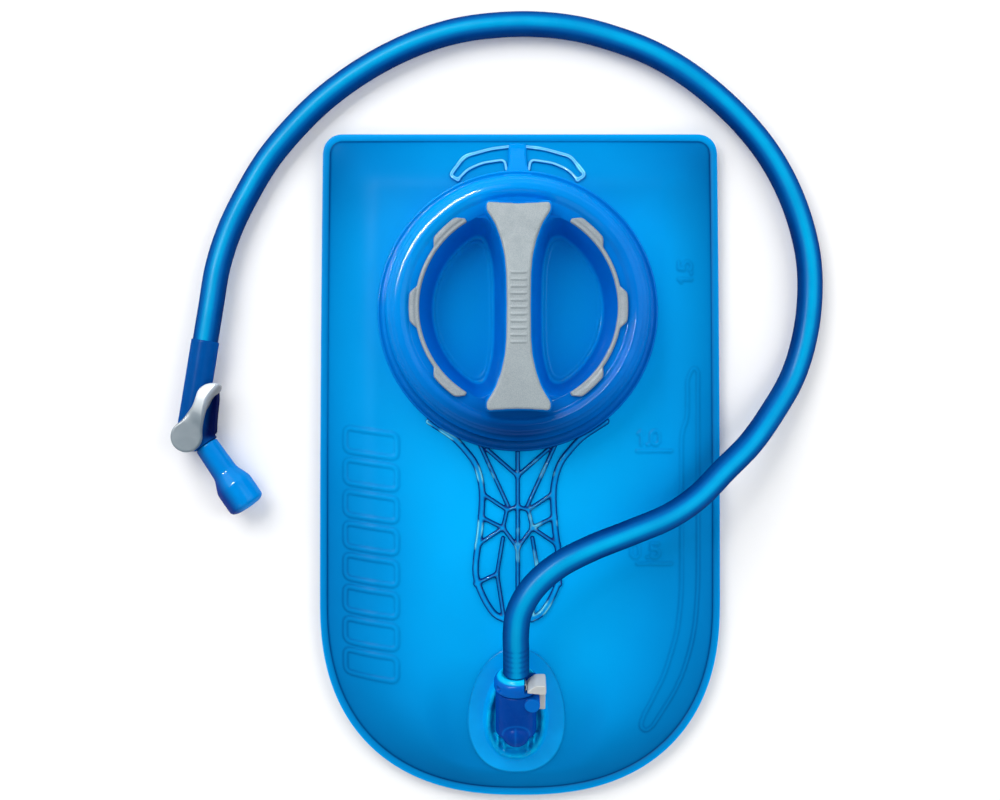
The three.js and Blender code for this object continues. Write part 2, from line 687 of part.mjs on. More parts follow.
// Route of the tube's centreline, from the connector to the bite valve.
const TUBE_ROUTE = [
  [-2.2, -93.45, 38.62], [-2.3, -83.5, 42.3], [-2.4, -73.7, 45.9], [-1, -64.4, 47.6],
  [5, -53.8, 48], [15.6, -44.3, 46.8], [31.1, -36.4, 44.3], [49.6, -29.6, 40],
  [68.4, -22.4, 34.4], [82.1, -14, 29], [95, -2, 23.8], [108.7, 10.7, 17.7], [120.2, 25.3, 11.8],
  [130.3, 41.5, 7.4], [136.3, 59.3, 6.1], [139, 78, 6.1], [138.7, 97.2, 6.1],
  [134.9, 115.4, 6.1], [128.2, 133.2, 6.1], [119, 149.5, 6.1], [107.5, 163.9, 6.1],
  [94.1, 176.9, 6.1], [79.2, 188.4, 6.1], [62.9, 197.7, 6.1], [45.1, 204.5, 6.1],
  [26.9, 209.3, 6.1], [7.9, 211.4, 6.1], [-11, 211, 6.1], [-29.8, 208.4, 6.1], [-48, 203, 6.1],
  [-65.3, 195.1, 6.1], [-81.1, 185.5, 6.1], [-96, 174, 6.1], [-109.4, 160.6, 6.1],
  [-121.2, 146.2, 6.1], [-131, 129.8, 6.3], [-139.2, 112.6, 6.9], [-144.7, 94.6, 8.2],
  [-147.7, 75.5, 9.4], [-150.5, 58.2, 9.5],
];

function drinkTube() {
  const curve = new THREE.CatmullRomCurve3(TUBE_ROUTE.map((point) => new THREE.Vector3(...point)));
  const section = disc(TUBE_OUTER, TUBE_SIDES);
  section.holes.push(disc(TUBE_BORE, TUBE_SIDES));
  return sweep(section, curve, TUBE_STEPS);
}

const atValve = (point, z = VALVE_Z) => new THREE.Vector3(point.x, point.y, z);
const SLEEVE_AXIS = CORE.clone().sub(TUBE_END).normalize();
const MOUTH_AXIS = new THREE.Vector2(Math.cos(MOUTHPIECE_ANGLE), Math.sin(MOUTHPIECE_ANGLE));
const alongSleeve = (distance) => TUBE_END.clone().addScaledVector(SLEEVE_AXIS, distance);
const alongMouth = (distance) => MOUTHPIECE_START.clone().addScaledVector(MOUTH_AXIS, distance);

// Fills the inside of the elbow's bend, from the sleeve down to the mouthpiece.
function elbowGuard() {
  const plan = new THREE.Shape();
  plan.moveTo(2, 25);
  plan.lineTo(9.4, 25.6);
  plan.quadraticCurveTo(13.8, 24, 13.6, 18);
  plan.lineTo(12.4, 7.2);
  plan.lineTo(12.2, 0.8);
  plan.lineTo(6, 0);
  plan.closePath();
  return slab(plan, GUARD_LOW, GUARD_TOP, 5).translate([CORE.x, CORE.y, 0]);
}

function valveElbow() {
  const shoulder = alongMouth(-GAP);
  const knee = new THREE.SphereGeometry(SLEEVE_RADIUS, 16, 10).translate(BEND.x, BEND.y, VALVE_Z);
  const outside = fuse(
    rod(SLEEVE_RADIUS, atValve(alongSleeve(2 * GAP)), atValve(BEND)),
    rod(SLEEVE_RADIUS - 0.2, atValve(BEND), atValve(shoulder)),
    solid(knee),
    post(7.3, 2.2, LEVER_LOW - GAP, CORE.x, CORE.y),
    elbowGuard(),
    rod(BARB_ROOT, atValve(alongSleeve(-11)), atValve(BEND)),
    rod(BARB_RADIUS, atValve(alongSleeve(-9.5)), atValve(alongSleeve(-8.2))),
    rod(BARB_RADIUS, atValve(alongSleeve(-5.5)), atValve(alongSleeve(-4.2))),
    rod(SPIGOT_TO_MOUTH, atValve(BEND), atValve(alongMouth(9))),
  );
  return cut(
    outside,
    rod(WATERWAY, atValve(alongSleeve(-14)), atValve(CORE), 16),
    rod(WATERWAY, atValve(CORE), atValve(alongMouth(2)), 16),
    rod(WATERWAY, atValve(alongMouth(1)), atValve(alongMouth(10)), 16),
    post(CORE_BORE, CORE_LOW - GAP, LEVER_LOW + 1, CORE.x, CORE.y),
  );
}

const ORING_HEIGHTS = [5.4, 13.6];

function valveCore() {
  const profile = [[0, CORE_LOW], [CORE_RADIUS, CORE_LOW]];
  for (const height of ORING_HEIGHTS) {
    profile.push([CORE_RADIUS, height - 0.75], [4.1, height - 0.75], [4.1, height + 0.75]);
    profile.push([CORE_RADIUS, height + 0.75]);
  }
  profile.push([CORE_RADIUS, CORE_TOP], [0, CORE_TOP]);
  const body = turned(profile, 24).translate([CORE.x, CORE.y, 0]);
  const outward = CORE.clone().addScaledVector(alongMouth(2).sub(CORE).normalize(), 7);
  return cut(
    body,
    rod(WATERWAY, atValve(CORE), atValve(alongSleeve(35)), 16),
    rod(WATERWAY, atValve(CORE), atValve(outward), 16),
  );
}

function coreOring(height) {
  return turned(ringProfile(4.6, height, 0.42), 24).translate([CORE.x, CORE.y, 0]);
}

function mouthpiece() {
  const tip = MOUTHPIECE_LENGTH;
  const profile = [[4.7, 0], [5.8, 0], [6.1, 16.5], [6.9, 18.6], [8.5, 22.2], [8.9, 24],
    [8.9, tip - 2], [8.3, tip - 1.2], [0, tip], [0, tip - 1.8], [7, tip - 2.6], [7.4, 24],
    [6.9, 22.4], [4.9, 17.4], [4.7, 9], [4.7, 0]];
  const slit = block(9, 5, 0.6, 0, tip, 0);
  const turn = THREE.MathUtils.radToDeg(MOUTHPIECE_ANGLE) - 90;
  const body = cut(turnedAlongY(profile, 20), slit);
  return body.rotate([0, 0, turn]).translate([MOUTHPIECE_START.x, MOUTHPIECE_START.y, VALVE_Z]);
}

// A disc on the core and an arm along the sleeve, whose right side hangs down as a thumb skirt.
function shutoffLever() {
  const arm = new THREE.Shape();
  arm.moveTo(-6.4, 3);
  arm.quadraticCurveTo(1.2, 9.5, 4, 17);
  arm.quadraticCurveTo(6, 24.6, 9.5, 24.9);
  arm.lineTo(13.6, 25.4);
  arm.quadraticCurveTo(16.4, 25, 15.4, 21);
  arm.quadraticCurveTo(8.8, 16.4, 7.2, 0);
  arm.closePath();
  const flank = new THREE.Shape();
  flank.moveTo(9.2, 15.4);
  flank.lineTo(9.9, 18.4);
  flank.quadraticCurveTo(12, 23, 14.2, 24.6);
  flank.lineTo(15.9, 23);
  flank.lineTo(15.4, 21.2);
  flank.quadraticCurveTo(12.4, 19.4, 11, 15.4);
  flank.closePath();
  const plate = slab(arm, LEVER_LOW, LEVER_TOP);
  const skirt = slab(flank, THUMB_SKIRT_LOW, LEVER_TOP - 1, 5);
  return fuse(post(LEVER_DISC, LEVER_LOW, LEVER_TOP), plate, skirt).translate([CORE.x, CORE.y, 0]);
}

// ---------------------------------------------------------------- assembly

function finish(color, roughness, opacity = 1) {
  const transparent = opacity < 1;
  return new THREE.MeshStandardMaterial({ color, roughness, metalness: 0, opacity, transparent });
}

const FILM_BLUE = 0x00a8f8;
const CLEAR_BLUE = 0x4cc0f5;
const CAP_BLUE = 0x0a6ee1;
const PORT_BLUE = 0x0a3c9e;
const VALVE_BLUE = 0x0a4fae;
const BITE_BLUE = 0x0a86ea;
const GRIP_GREY = 0xa8b2b8;
const RUBBER_BLACK = 0x1d2126;
const STEEL = 0xb4b8bc;

function add(group, name, body, material) {
  const mesh = new THREE.Mesh(geometryOf(body), material);
  mesh.name = name;
  group.add(mesh);
}

const bladder = new THREE.Group();
add(bladder, 'back_film', backFilm(), finish(FILM_BLUE, 0.35, 0.8));
add(bladder, 'front_film', frontFilm(), finish(FILM_BLUE, 0.35, 0.8));
add(bladder, 'fill_collar', fillCollar(), finish(CAP_BLUE, 0.35));
add(bladder, 'lattice_tongue', latticeTongue(), finish(CLEAR_BLUE, 0.15, 0.5));
add(bladder, 'arch_left', arch(-1), finish(CLEAR_BLUE, 0.15, 0.5));
add(bladder, 'arch_right', arch(1), finish(CLEAR_BLUE, 0.15, 0.5));
add(bladder, 'outlet_flange', outletFlange(), finish(CLEAR_BLUE, 0.15, 0.5));
add(bladder, 'outlet_port', outletPort(), finish(PORT_BLUE, 0.35));
add(bladder, 'outlet_poppet', poppet(), finish(GRIP_GREY, 0.5));
add(bladder, 'poppet_spring', poppetSpring(), finish(STEEL, 0.3));

const cap = new THREE.Group();
cap.position.set(CAP_X, CAP_Y, 0);
bladder.add(cap);
add(cap, 'cap_gasket', capGasket(), finish(RUBBER_BLACK, 0.8));
add(cap, 'cap_shell', capShell(), finish(CAP_BLUE, 0.35));
add(cap, 'cap_bridge', capBridge(), finish(CAP_BLUE, 0.35));
add(cap, 'handle_pad', handlePad(), finish(GRIP_GREY, 0.6));
add(cap, 'grip_insert_left', gripInsert(-1), finish(GRIP_GREY, 0.6));
add(cap, 'grip_insert_right', gripInsert(1), finish(GRIP_GREY, 0.6));

add(bladder, 'hose_connector', hoseConnector(), finish(PORT_BLUE, 0.3));
add(bladder, 'connector_oring', connectorOring(), finish(RUBBER_BLACK, 0.8));
add(bladder, 'release_button', releaseButton(), finish(GRIP_GREY, 0.5));
add(bladder, 'button_spring', buttonSpring(), finish(STEEL, 0.3));
add(bladder, 'drink_tube', drinkTube(), finish(FILM_BLUE, 0.25, 0.75));

add(bladder, 'valve_elbow', valveElbow(), finish(VALVE_BLUE, 0.35));
add(bladder, 'valve_core', valveCore(), finish(GRIP_GREY, 0.5));
add(bladder, 'core_oring_lower', coreOring(ORING_HEIGHTS[0]), finish(RUBBER_BLACK, 0.8));
add(bladder, 'core_oring_upper', coreOring(ORING_HEIGHTS[1]), finish(RUBBER_BLACK, 0.8));
add(bladder, 'shutoff_lever', shutoffLever(), finish(GRIP_GREY, 0.45));
add(bladder, 'mouthpiece', mouthpiece(), finish(BITE_BLUE, 0.4));

export default bladder;
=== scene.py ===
import json
import math

import bmesh
import bpy
import numpy as np
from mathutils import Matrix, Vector
from mathutils.geometry import delaunay_2d_cdt


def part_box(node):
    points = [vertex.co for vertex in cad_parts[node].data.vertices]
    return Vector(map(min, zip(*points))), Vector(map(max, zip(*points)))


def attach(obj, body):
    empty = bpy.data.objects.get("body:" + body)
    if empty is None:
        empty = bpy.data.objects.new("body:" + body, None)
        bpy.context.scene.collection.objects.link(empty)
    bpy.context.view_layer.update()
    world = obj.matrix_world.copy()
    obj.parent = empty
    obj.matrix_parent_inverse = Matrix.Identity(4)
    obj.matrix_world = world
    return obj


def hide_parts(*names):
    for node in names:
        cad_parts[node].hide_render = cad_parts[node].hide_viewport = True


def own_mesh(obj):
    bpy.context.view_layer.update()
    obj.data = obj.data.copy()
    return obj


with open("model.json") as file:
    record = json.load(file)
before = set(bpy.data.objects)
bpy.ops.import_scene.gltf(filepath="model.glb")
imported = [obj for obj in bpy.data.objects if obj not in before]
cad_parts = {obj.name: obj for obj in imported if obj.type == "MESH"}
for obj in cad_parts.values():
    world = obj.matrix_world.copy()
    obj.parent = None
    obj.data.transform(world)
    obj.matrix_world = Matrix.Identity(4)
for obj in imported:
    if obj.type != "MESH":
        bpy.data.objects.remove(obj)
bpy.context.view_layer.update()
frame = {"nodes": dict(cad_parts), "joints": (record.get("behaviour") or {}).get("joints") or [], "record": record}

MM = 0.001


def corners_mm(node):
    """The low and high corners of a CAD node's box, in millimetres."""
    low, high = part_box(node)
    return np.array(low) / MM, np.array(high) / MM


# ------------------------------------------------------------------ sizes

# The bag: straight sides down to its shoulder, a round bottom, a weld band and swollen films.
BAG_LOW, BAG_HIGH = corners_mm("back_film")
HALF_WIDTH = BAG_HIGH[0]
TOP_HALF_WIDTH = HALF_WIDTH - 1.5
TOP_Y = BAG_HIGH[1]
SHOULDER_Y = -65
BOTTOM_DEPTH = TOP_Y + SHOULDER_Y
BOTTOM_POWER = 2.4
CORNER_RADIUS = 9
WELD_BAND = 3.5
GROOVE_WIDTH = 0.5
SEAM_Z = BAG_HIGH[2]
FRONT_LIFT = 0.6
BACK_DROP = 0.2
SWELL_REACH = 25
BAG_DEPTH = corners_mm("front_film")[1][2]
SKIN = 0.5
# The films' points: rows along the weld, then a grid that starts inside them and has fine parts.
WELD_ROWS = (0.5, 1.2, 2.2, 3.0, 3.5, 4.0, 4.8, 6.0)
WELD_MARGIN = 7.2
FILM_GRID = 1.9
FINE_GRID = 0.75

# The cap and the filling collar.
CAP_LOW, CAP_HIGH = corners_mm("cap_shell")
CAP_X, CAP_Y = (CAP_LOW[:2] + CAP_HIGH[:2]) / 2
CAP_MIDDLE = np.array([CAP_X, CAP_Y, 0])
CAP_RADIUS = (CAP_HIGH[0] - CAP_LOW[0]) / 2
FLANGE_Z = corners_mm("lattice_tongue")[0][2]
FLANGE_RADIUS = 66
NECK_HOLE = 51
HANDLE_TOP = corners_mm("handle_pad")[1][2]
PAD_STANDS = 2.4                            # how far the grey pad stands up from the bridge's rim
SEAT_Z = 45.7
WELL_RADIUS = 44.6
WELL_FLOOR = 27
WELL_WALL = 5.6

# The port's own directions: across it, along it towards the hose, and up out of it.
RELEASE = next(j for j in frame["joints"] if j["name"] == "hose_release")
PORT_AXIS = np.array(RELEASE["axis"])
PORT_SIDE = np.array([1.0, 0.0, 0.0])
PORT_UP = np.cross(PORT_SIDE, PORT_AXIS)
ORING_ALONG = 3
ORING_LOW, ORING_HIGH = corners_mm("connector_oring")
PORT = (ORING_LOW + ORING_HIGH) / 2 - ORING_ALONG * PORT_AXIS
SEAT_SLOPE = math.tan(math.radians(6))
SEAT_Y = -95
SEAT_HALF_WIDTH = 30
SEAT_HALF_LENGTH = 38
OUTLET_STEM_Y = PORT[1] - 9
OUTLET_HOLE = 7

# The bite valve, whose sleeve and mouthpiece lie level at one height and meet at a bend.
CORE_LOW, CORE_HIGH = corners_mm("valve_core")
CORE = (CORE_LOW + CORE_HIGH) / 2
VALVE_Z = 9.5
TUBE_END = np.array([-150.5, 58.2])
BEND = np.array([-156.8, 19.5])
MOUTH_START = np.array([-149.9, 9.5])
MOUTH_ANGLE = math.radians(-55.5)
MOUTH_AXIS = np.array([math.cos(MOUTH_ANGLE), math.sin(MOUTH_ANGLE)])
MOUTH_SIDE = np.array([-MOUTH_AXIS[1], MOUTH_AXIS[0]])
MOUTH_LENGTH = 36.2

# The tube's route, from the connector to the bite valve.
TUBE_RADIUS = 6
TUBE_BORE = 4
BARB_RINGS = (3.2, 5.8, 8.4, 11, 13.6)      # how far up the tube its dark rings are
TUBE_ROUTE = [
    (-2.2, -93.45, 38.62), (-2.3, -83.5, 42.3), (-2.4, -73.7, 45.9), (-1, -64.4, 47.6), (5, -53.8, 48),
    (15.6, -44.3, 46.8), (31.1, -36.4, 44.3), (49.6, -29.6, 40), (68.4, -22.4, 34.4), (82.1, -14, 29),
    (95, -2, 23.8), (108.7, 10.7, 17.7), (120.2, 25.3, 11.8), (130.3, 41.5, 7.4), (136.3, 59.3, 6.1),
    (139, 78, 6.1), (138.7, 97.2, 6.1), (134.9, 115.4, 6.1), (128.2, 133.2, 6.1), (119, 149.5, 6.1),
    (107.5, 163.9, 6.1), (94.1, 176.9, 6.1), (79.2, 188.4, 6.1), (62.9, 197.7, 6.1), (45.1, 204.5, 6.1),
    (26.9, 209.3, 6.1), (7.9, 211.4, 6.1), (-11, 211, 6.1), (-29.8, 208.4, 6.1), (-48, 203, 6.1),
    (-65.3, 195.1, 6.1), (-81.1, 185.5, 6.1), (-96, 174, 6.1), (-109.4, 160.6, 6.1), (-121.2, 146.2, 6.1),
    (-131, 129.8, 6.3), (-139.2, 112.6, 6.9), (-144.7, 94.6, 8.2), (-147.7, 75.5, 9.4), (-150.5, 58.2, 9.5),
]

# ------------------------------------------------------------------ camera, floor and light

CAMERA = Vector((-9.6, 31.0, 673.0))
LIGHT_TARGET = Vector((0, 0.03, 0))


def make_camera():
    data = bpy.data.cameras.new("camera")
    data.lens = 50
    data.sensor_width = 36
    camera = bpy.data.objects.new("camera", data)
    camera.location = CAMERA * MM
    bpy.context.scene.collection.objects.link(camera)
    bpy.context.scene.camera = camera


def area_light(name, place, size, power):
    data = bpy.data.lights.new(name, "AREA")
    data.shape = "RECTANGLE"
    data.size, data.size_y = size
    data.energy = power
    light = bpy.data.objects.new(name, data)
    light.location = place
    light.rotation_euler = (LIGHT_TARGET - Vector(place)).to_track_quat("-Z", "Y").to_euler()
    light.visible_camera = False
    bpy.context.scene.collection.objects.link(light)
    return light


def make_world():
    """Soft white surroundings, brighter beyond the bag's top end and darker overhead."""
    world = bpy.data.worlds.new("studio")
    bpy.context.scene.world = world
    world.use_nodes = True
    tree = world.node_tree
    place = tree.nodes.new("ShaderNodeTexCoord").outputs["Generated"]
    split = tree.nodes.new("ShaderNodeSeparateXYZ")
    tree.links.new(place, split.inputs["Vector"])
    strength = tree.nodes.new("ShaderNodeMath")
    strength.operation = "MULTIPLY"
    ranges = (("Z", 0.4, 0.97, 1.1, 0.14), ("Y", -0.7, 0.8, 0.55, 1.35))
    for socket, (axis, low, high, to_low, to_high) in zip(strength.inputs, ranges):
        ramp = tree.nodes.new("ShaderNodeMapRange")
        for key, value in (("From Min", low), ("From Max", high), ("To Min", to_low), ("To Max", to_high)):
            ramp.inputs[key].default_value = value
        tree.links.new(split.outputs[axis], ramp.inputs["Value"])
        tree.links.new(ramp.outputs["Result"], socket)
    background = tree.nodes["Background"]
    background.inputs["Color"].default_value = (0.98, 0.99, 1.0, 1)
    tree.links.new(strength.outputs[0], background.inputs["Strength"])


def make_floor():
    bpy.ops.mesh.primitive_plane_add(size=6, location=(0, 0, -0.0004))
    floor = bpy.context.object
    floor.name = "floor"
    n = Nodes("floor")
    cloud = n.noise(6, 3)
    colour = n.mix(cloud, (0.96, 0.96, 0.96, 1), (0.99, 0.99, 0.99, 1))
    normal = n.bump(cloud, 0.0001, 0.1)
    floor.data.materials.append(n.finish(colour, normal, n.spread(cloud, 0, 1, 0.85, 0.95)))


def make_studio():
    """Three soft lights, and a narrow strip that makes highlights only."""
    make_world()
    # Each has its place, its size in metres and its power in watts.
    area_light("key", (-0.62, 0.72, 1.0), (1.1, 0.8), 9.5)
    area_light("fill", (0.85, 0.25, 0.95), (0.8, 1.0), 4.6)
    area_light("front", (-0.15, -0.75, 1.0), (1.1, 0.6), 2.6)
    strip = area_light("strip", (-0.46, 0.5, 1.05), (0.75, 0.055), 42)
    strip.visible_diffuse = False
    bpy.context.scene.view_settings.view_transform = "Standard"
    make_floor()


# ------------------------------------------------------------------ mesh making

def unit(vector):
    return vector / np.linalg.norm(vector)


def lengths_along(points):
    """How far along a run of points each of them is."""
    return np.concatenate([[0], np.cumsum(np.linalg.norm(np.diff(points, axis=0), axis=1))])


def moved(data, matrix=None, shift=(0, 0, 0)):
    """A shape, which is its points and faces, turned by a matrix and then shifted."""
    points, faces = data
    points = np.asarray(points, float)
    if matrix is not None:
        points = points @ np.asarray(matrix, float).T
    return points + np.asarray(shift, float), faces


def joined(*datas):
    points, faces, count = [], [], 0
    for some, polygons in datas:
        points.append(np.asarray(some, float))
        faces += [tuple(int(i) + count for i in polygon) for polygon in polygons]
        count += len(some)
    return np.vstack(points), faces


def mesh_from(name, data, attributes=None, sharp=40):
    points, faces = data
    mesh = bpy.data.meshes.new(name)
    mesh.from_pydata((np.asarray(points) * MM).tolist(), [], [list(map(int, f)) for f in faces])
    for key, values in (attributes or {}).items():
        mesh.attributes.new(key, "FLOAT", "POINT").data.foreach_set("value", np.asarray(values, np.float32))
    work = bmesh.new()
    work.from_mesh(mesh)
    bmesh.ops.recalc_face_normals(work, faces=work.faces)
    work.to_mesh(mesh)
    work.free()
    mesh.shade_smooth()
    if sharp:
        mesh.set_sharp_from_angle(angle=math.radians(sharp))
    return mesh


def piece(name, data, material, body, replaces=(), attributes=None, sharp=40):
    """One visible piece, from a shape in millimetres or a finished mesh."""
    mesh = data if isinstance(data, bpy.types.Mesh) else mesh_from(name, data, attributes, sharp)
    made = bpy.data.objects.new(name, mesh)
    bpy.context.scene.collection.objects.link(made)
    mesh.materials.clear()
    mesh.materials.append(material)
    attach(made, body)
    if replaces:
        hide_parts(*replaces)
    return made


def softened(points, radius, steps=5, closed=False):
    """Rounds the corners of a run of points with short curves that reach radius along each side."""
    points = [np.asarray(p, float) for p in points]
    count = len(points)
    rounded = []
    for i, corner in enumerate(points):
        if not closed and i in (0, count - 1):
            rounded.append(corner)
            continue
        before, after = points[i - 1], points[(i + 1) % count]
        reach_in = min(radius, np.linalg.norm(before - corner) * 0.48)
        reach_out = min(radius, np.linalg.norm(after - corner) * 0.48)
        start = corner + unit(before - corner) * reach_in
        end = corner + unit(after - corner) * reach_out
        for t in np.linspace(0, 1, steps):
            rounded.append((1 - t) ** 2 * start + 2 * t * (1 - t) * corner + t ** 2 * end)
    return rounded


def turned(profile, segments=128, closed=False):
    """A profile of (radius, height) points turned about Z. A closed one is a ring's own outline."""
    points, rows = [], []
    for radius, height in profile:
        if radius < 1e-6:
            rows.append([len(points)] * segments)
            points.append((0, 0, height))
            continue
        rows.append(list(range(len(points), len(points) + segments)))
        for k in range(segments):
            angle = 2 * math.pi * k / segments
            points.append((radius * math.cos(angle), radius * math.sin(angle), height))
    faces = []
    pairs = list(zip(rows, rows[1:])) + ([(rows[-1], rows[0])] if closed else [])
    for low, high in pairs:
        for k in range(segments):
            n = (k + 1) % segments
            ring = [low[k], low[n], high[n], high[k]]
            ring = [v for i, v in enumerate(ring) if v not in ring[:i]]
            if len(ring) > 2:
                faces.append(tuple(ring))
    return np.array(points), faces


def rod(radius, start, end, segments=40):
    """A closed cylinder between two points."""
    start, end = np.asarray(start, float), np.asarray(end, float)
    axis = unit(end - start)
    side = unit(np.cross(axis, (0, 0, 1) if abs(axis[2]) < 0.9 else (1, 0, 0)))
    basis = np.column_stack([side, np.cross(axis, side), axis])
    length = np.linalg.norm(end - start)
    return moved(turned([(0, 0), (radius, 0), (radius, length), (0, length)], segments), basis, start)


def ball(radius, centre, segments=32):
    angles = np.linspace(-math.pi / 2, math.pi / 2, segments // 2)
    profile = [(max(radius * math.cos(a), 0), radius * math.sin(a)) for a in angles]
    profile[0], profile[-1] = (0, -radius), (0, radius)
    return moved(turned(profile, segments), None, centre)


def brick(size, centre):
    w, l, h = np.asarray(size, float) / 2
    points = [(x, y, z) for z in (-h, h) for y in (-l, l) for x in (-w, w)]
    faces = [(0, 1, 3, 2), (4, 5, 7, 6), (0, 1, 5, 4), (2, 3, 7, 6), (0, 2, 6, 4), (1, 3, 7, 5)]
    return moved((points, faces), None, centre)


def prism(outline, low, high):
    """A flat outline carried straight up from one height to another."""
    outline = [tuple(p) for p in outline]
    count = len(outline)
    points = [(*p, low) for p in outline] + [(*p, high) for p in outline]
    sides = [(i, (i + 1) % count, count + (i + 1) % count, count + i) for i in range(count)]
    return np.array(points), [tuple(range(count)), tuple(range(count, 2 * count)), *sides]


def evaluated(holder, name):
    """An object's mesh with its modifiers applied."""
    depsgraph = bpy.context.evaluated_depsgraph_get()
    mesh = bpy.data.meshes.new_from_object(holder.evaluated_get(depsgraph))
    mesh.name = name
    return mesh


def moulded(name, adds, cuts=(), voxel=0.35, smooth=4):
    """Closed shapes melted into one moulding with small rounded edges, less the shapes cut away."""
    def holder(data):
        made = bpy.data.objects.new(name + "_work", mesh_from(name + "_work", data, sharp=0))
        bpy.context.scene.collection.objects.link(made)
        return made

    body = holder(adds[0])
    tools = []
    for operation, datas in (("UNION", adds[1:]), ("DIFFERENCE", cuts)):
        for data in datas:
            tool = holder(data)
            boolean = body.modifiers.new("boolean", "BOOLEAN")
            boolean.operation = operation
            boolean.solver = "MANIFOLD"
            boolean.object = tool
            tools.append(tool)
    remesh = body.modifiers.new("remesh", "REMESH")
    remesh.mode = "VOXEL"
    remesh.voxel_size = voxel * MM
    relax = body.modifiers.new("relax", "SMOOTH")
    relax.factor = 0.5
    relax.iterations = smooth
    mesh = evaluated(body, name)
    for spent in [body, *tools]:
        bpy.data.objects.remove(spent)
    mesh.shade_smooth()
    return mesh


# ------------------------------------------------------------------ fields and reliefs

def smoothstep(value, low, high):
    t = np.clip((np.asarray(value, float) - low) / (high - low), 0, 1)
    return t * t * (3 - 2 * t)


def bell(value, middle, width):
    """1 where value is at the middle, falling off to 0 on both sides."""
    return np.exp(-((value - middle) / width) ** 2)


def round_over(f, reach, least=0):
    """Climbs along a quarter circle, from 0 at a field's edge to 1 at reach inside it."""
    share = np.clip(-f / reach, 0, 1)
    return np.sqrt(np.clip(1 - (1 - share) ** 2, least, 1))


def blended(first, second, reach):
    """The lesser of two fields, with a fillet where they meet."""
    h = np.clip(0.5 + 0.5 * (second - first) / reach, 0, 1)
    return second * (1 - h) + first * h - reach * h * (1 - h)


def distance_to_runs(x, y, runs):
    """Least distance from each point to the segments of several runs, less each run's half width."""
    best = np.full(np.shape(x), 1e9)
    for run, half in runs:
        for (ax, ay), (bx, by) in zip(run, run[1:]):
            dx, dy = bx - ax, by - ay
            t = np.clip(((x - ax) * dx + (y - ay) * dy) / (dx * dx + dy * dy), 0, 1)
            best = np.minimum(best, np.hypot(x - ax - t * dx, y - ay - t * dy) - half)
    return best


def inside(x, y, outline):
    """Whether each point is inside a closed outline, by how many of its sides lie to the right."""
    within = np.zeros(np.shape(x), bool)
    for (ax, ay), (bx, by) in zip(outline, np.roll(outline, -1, axis=0)):
        if ay == by:
            continue
        crosses = (ay > y) != (by > y)
        within ^= crosses & (x < (bx - ax) * (y - ay) / (by - ay) + ax)
    return within


def outline_field(outline):
    """Signed distance to a closed outline, below 0 inside it."""
    outline = np.asarray(outline, float)
    loop = [tuple(p) for p in outline] + [tuple(outline[0])]

    def field(x, y):
        gap = distance_to_runs(x, y, [(loop, 0)])
        return np.where(inside(x, y, outline), -gap, gap)
    return field


def relief(field, bounds, spacing, top, bottom):
    """A closed slab over the area where field is below 0. top and bottom give heights from x, y
    and the field. Returns its points and faces, and the field at each point."""
    (x0, y0), (x1, y1) = bounds
    step_y = spacing * math.sqrt(3) / 2
    columns = int((x1 - x0) / spacing) + 3
    rows = int((y1 - y0) / step_y) + 3
    x, y, j, i = hex_grid(x0 - spacing, y0 - step_y, rows, columns, spacing)
    f = field(x, y)
    quads = (j * columns + i)[:-1, :-1].ravel()
    odd = (j[:-1, :-1].ravel() % 2).astype(bool)
    a, b, c, d = quads, quads + 1, quads + columns, quads + columns + 1
    first = np.where(odd[:, None], np.column_stack([a, b, d]), np.column_stack([a, b, c]))
    second = np.where(odd[:, None], np.column_stack([a, d, c]), np.column_stack([b, d, c]))
    triangles = np.vstack([first, second])
    triangles, used = compacted(triangles[(f[triangles] < -0.12 * spacing).any(axis=1)], len(x))
    x, y, f = x[used], y[used], f[used]
    small = spacing * 0.05
    for _ in range(3):
        loose = f > -0.3 * spacing
        gx = (field(x[loose] + small, y[loose]) - field(x[loose] - small, y[loose])) / (2 * small)
        gy = (field(x[loose], y[loose] + small) - field(x[loose], y[loose] - small)) / (2 * small)
        size = np.maximum(gx ** 2 + gy ** 2, 0.2)
        x[loose] -= f[loose] * gx / size
        y[loose] -= f[loose] * gy / size
        f[loose] = field(x[loose], y[loose])
    return walled(x, y, triangles, top(x, y, f), bottom(x, y, f)), np.concatenate([f, f])


def compacted(triangles, count):
    """Triangles renumbered over the points that they use, and those points' old numbers."""
    used = np.unique(triangles)
    renumber = np.full(count, -1)
    renumber[used] = np.arange(len(used))
    return renumber[triangles], used


def walled(x, y, triangles, high, low):
    """Two sheets over the same triangles, joined by walls along their open edges."""
    count = len(x)
    edges = np.vstack([triangles[:, [0, 1]], triangles[:, [1, 2]], triangles[:, [2, 0]]])
    keys = np.sort(edges, axis=1)
    _, first, uses = np.unique(keys, axis=0, return_index=True, return_counts=True)
    rim = edges[first[uses == 1]]
    points = np.vstack([np.column_stack([x, y, high]), np.column_stack([x, y, low])])
    faces = [tuple(t) for t in triangles]
    faces += [(a + count, c + count, b + count) for a, b, c in triangles]
    faces += [(b, a, a + count, b + count) for a, b in rim]
    return points, faces


def region(loops, points, keep):
    """Triangles between closed loops of points, through extra points. keep picks them by centre."""
    verts, polygons = [], []
    for loop in loops:
        polygons.append(list(range(len(verts), len(verts) + len(loop))))
        verts += [Vector((float(p[0]), float(p[1]))) for p in loop]
    verts += [Vector((float(p[0]), float(p[1]))) for p in points]
    out = delaunay_2d_cdt(verts, [], polygons, 1, 1e-5)
    xy = np.array([tuple(v) for v in out[0]])
    triangles = np.array([f for f in out[2] if len(f) == 3])
    centre = xy[triangles].mean(axis=1)
    triangles, used = compacted(triangles[keep(centre[:, 0], centre[:, 1])], len(xy))
    return xy[used, 0], xy[used, 1], triangles


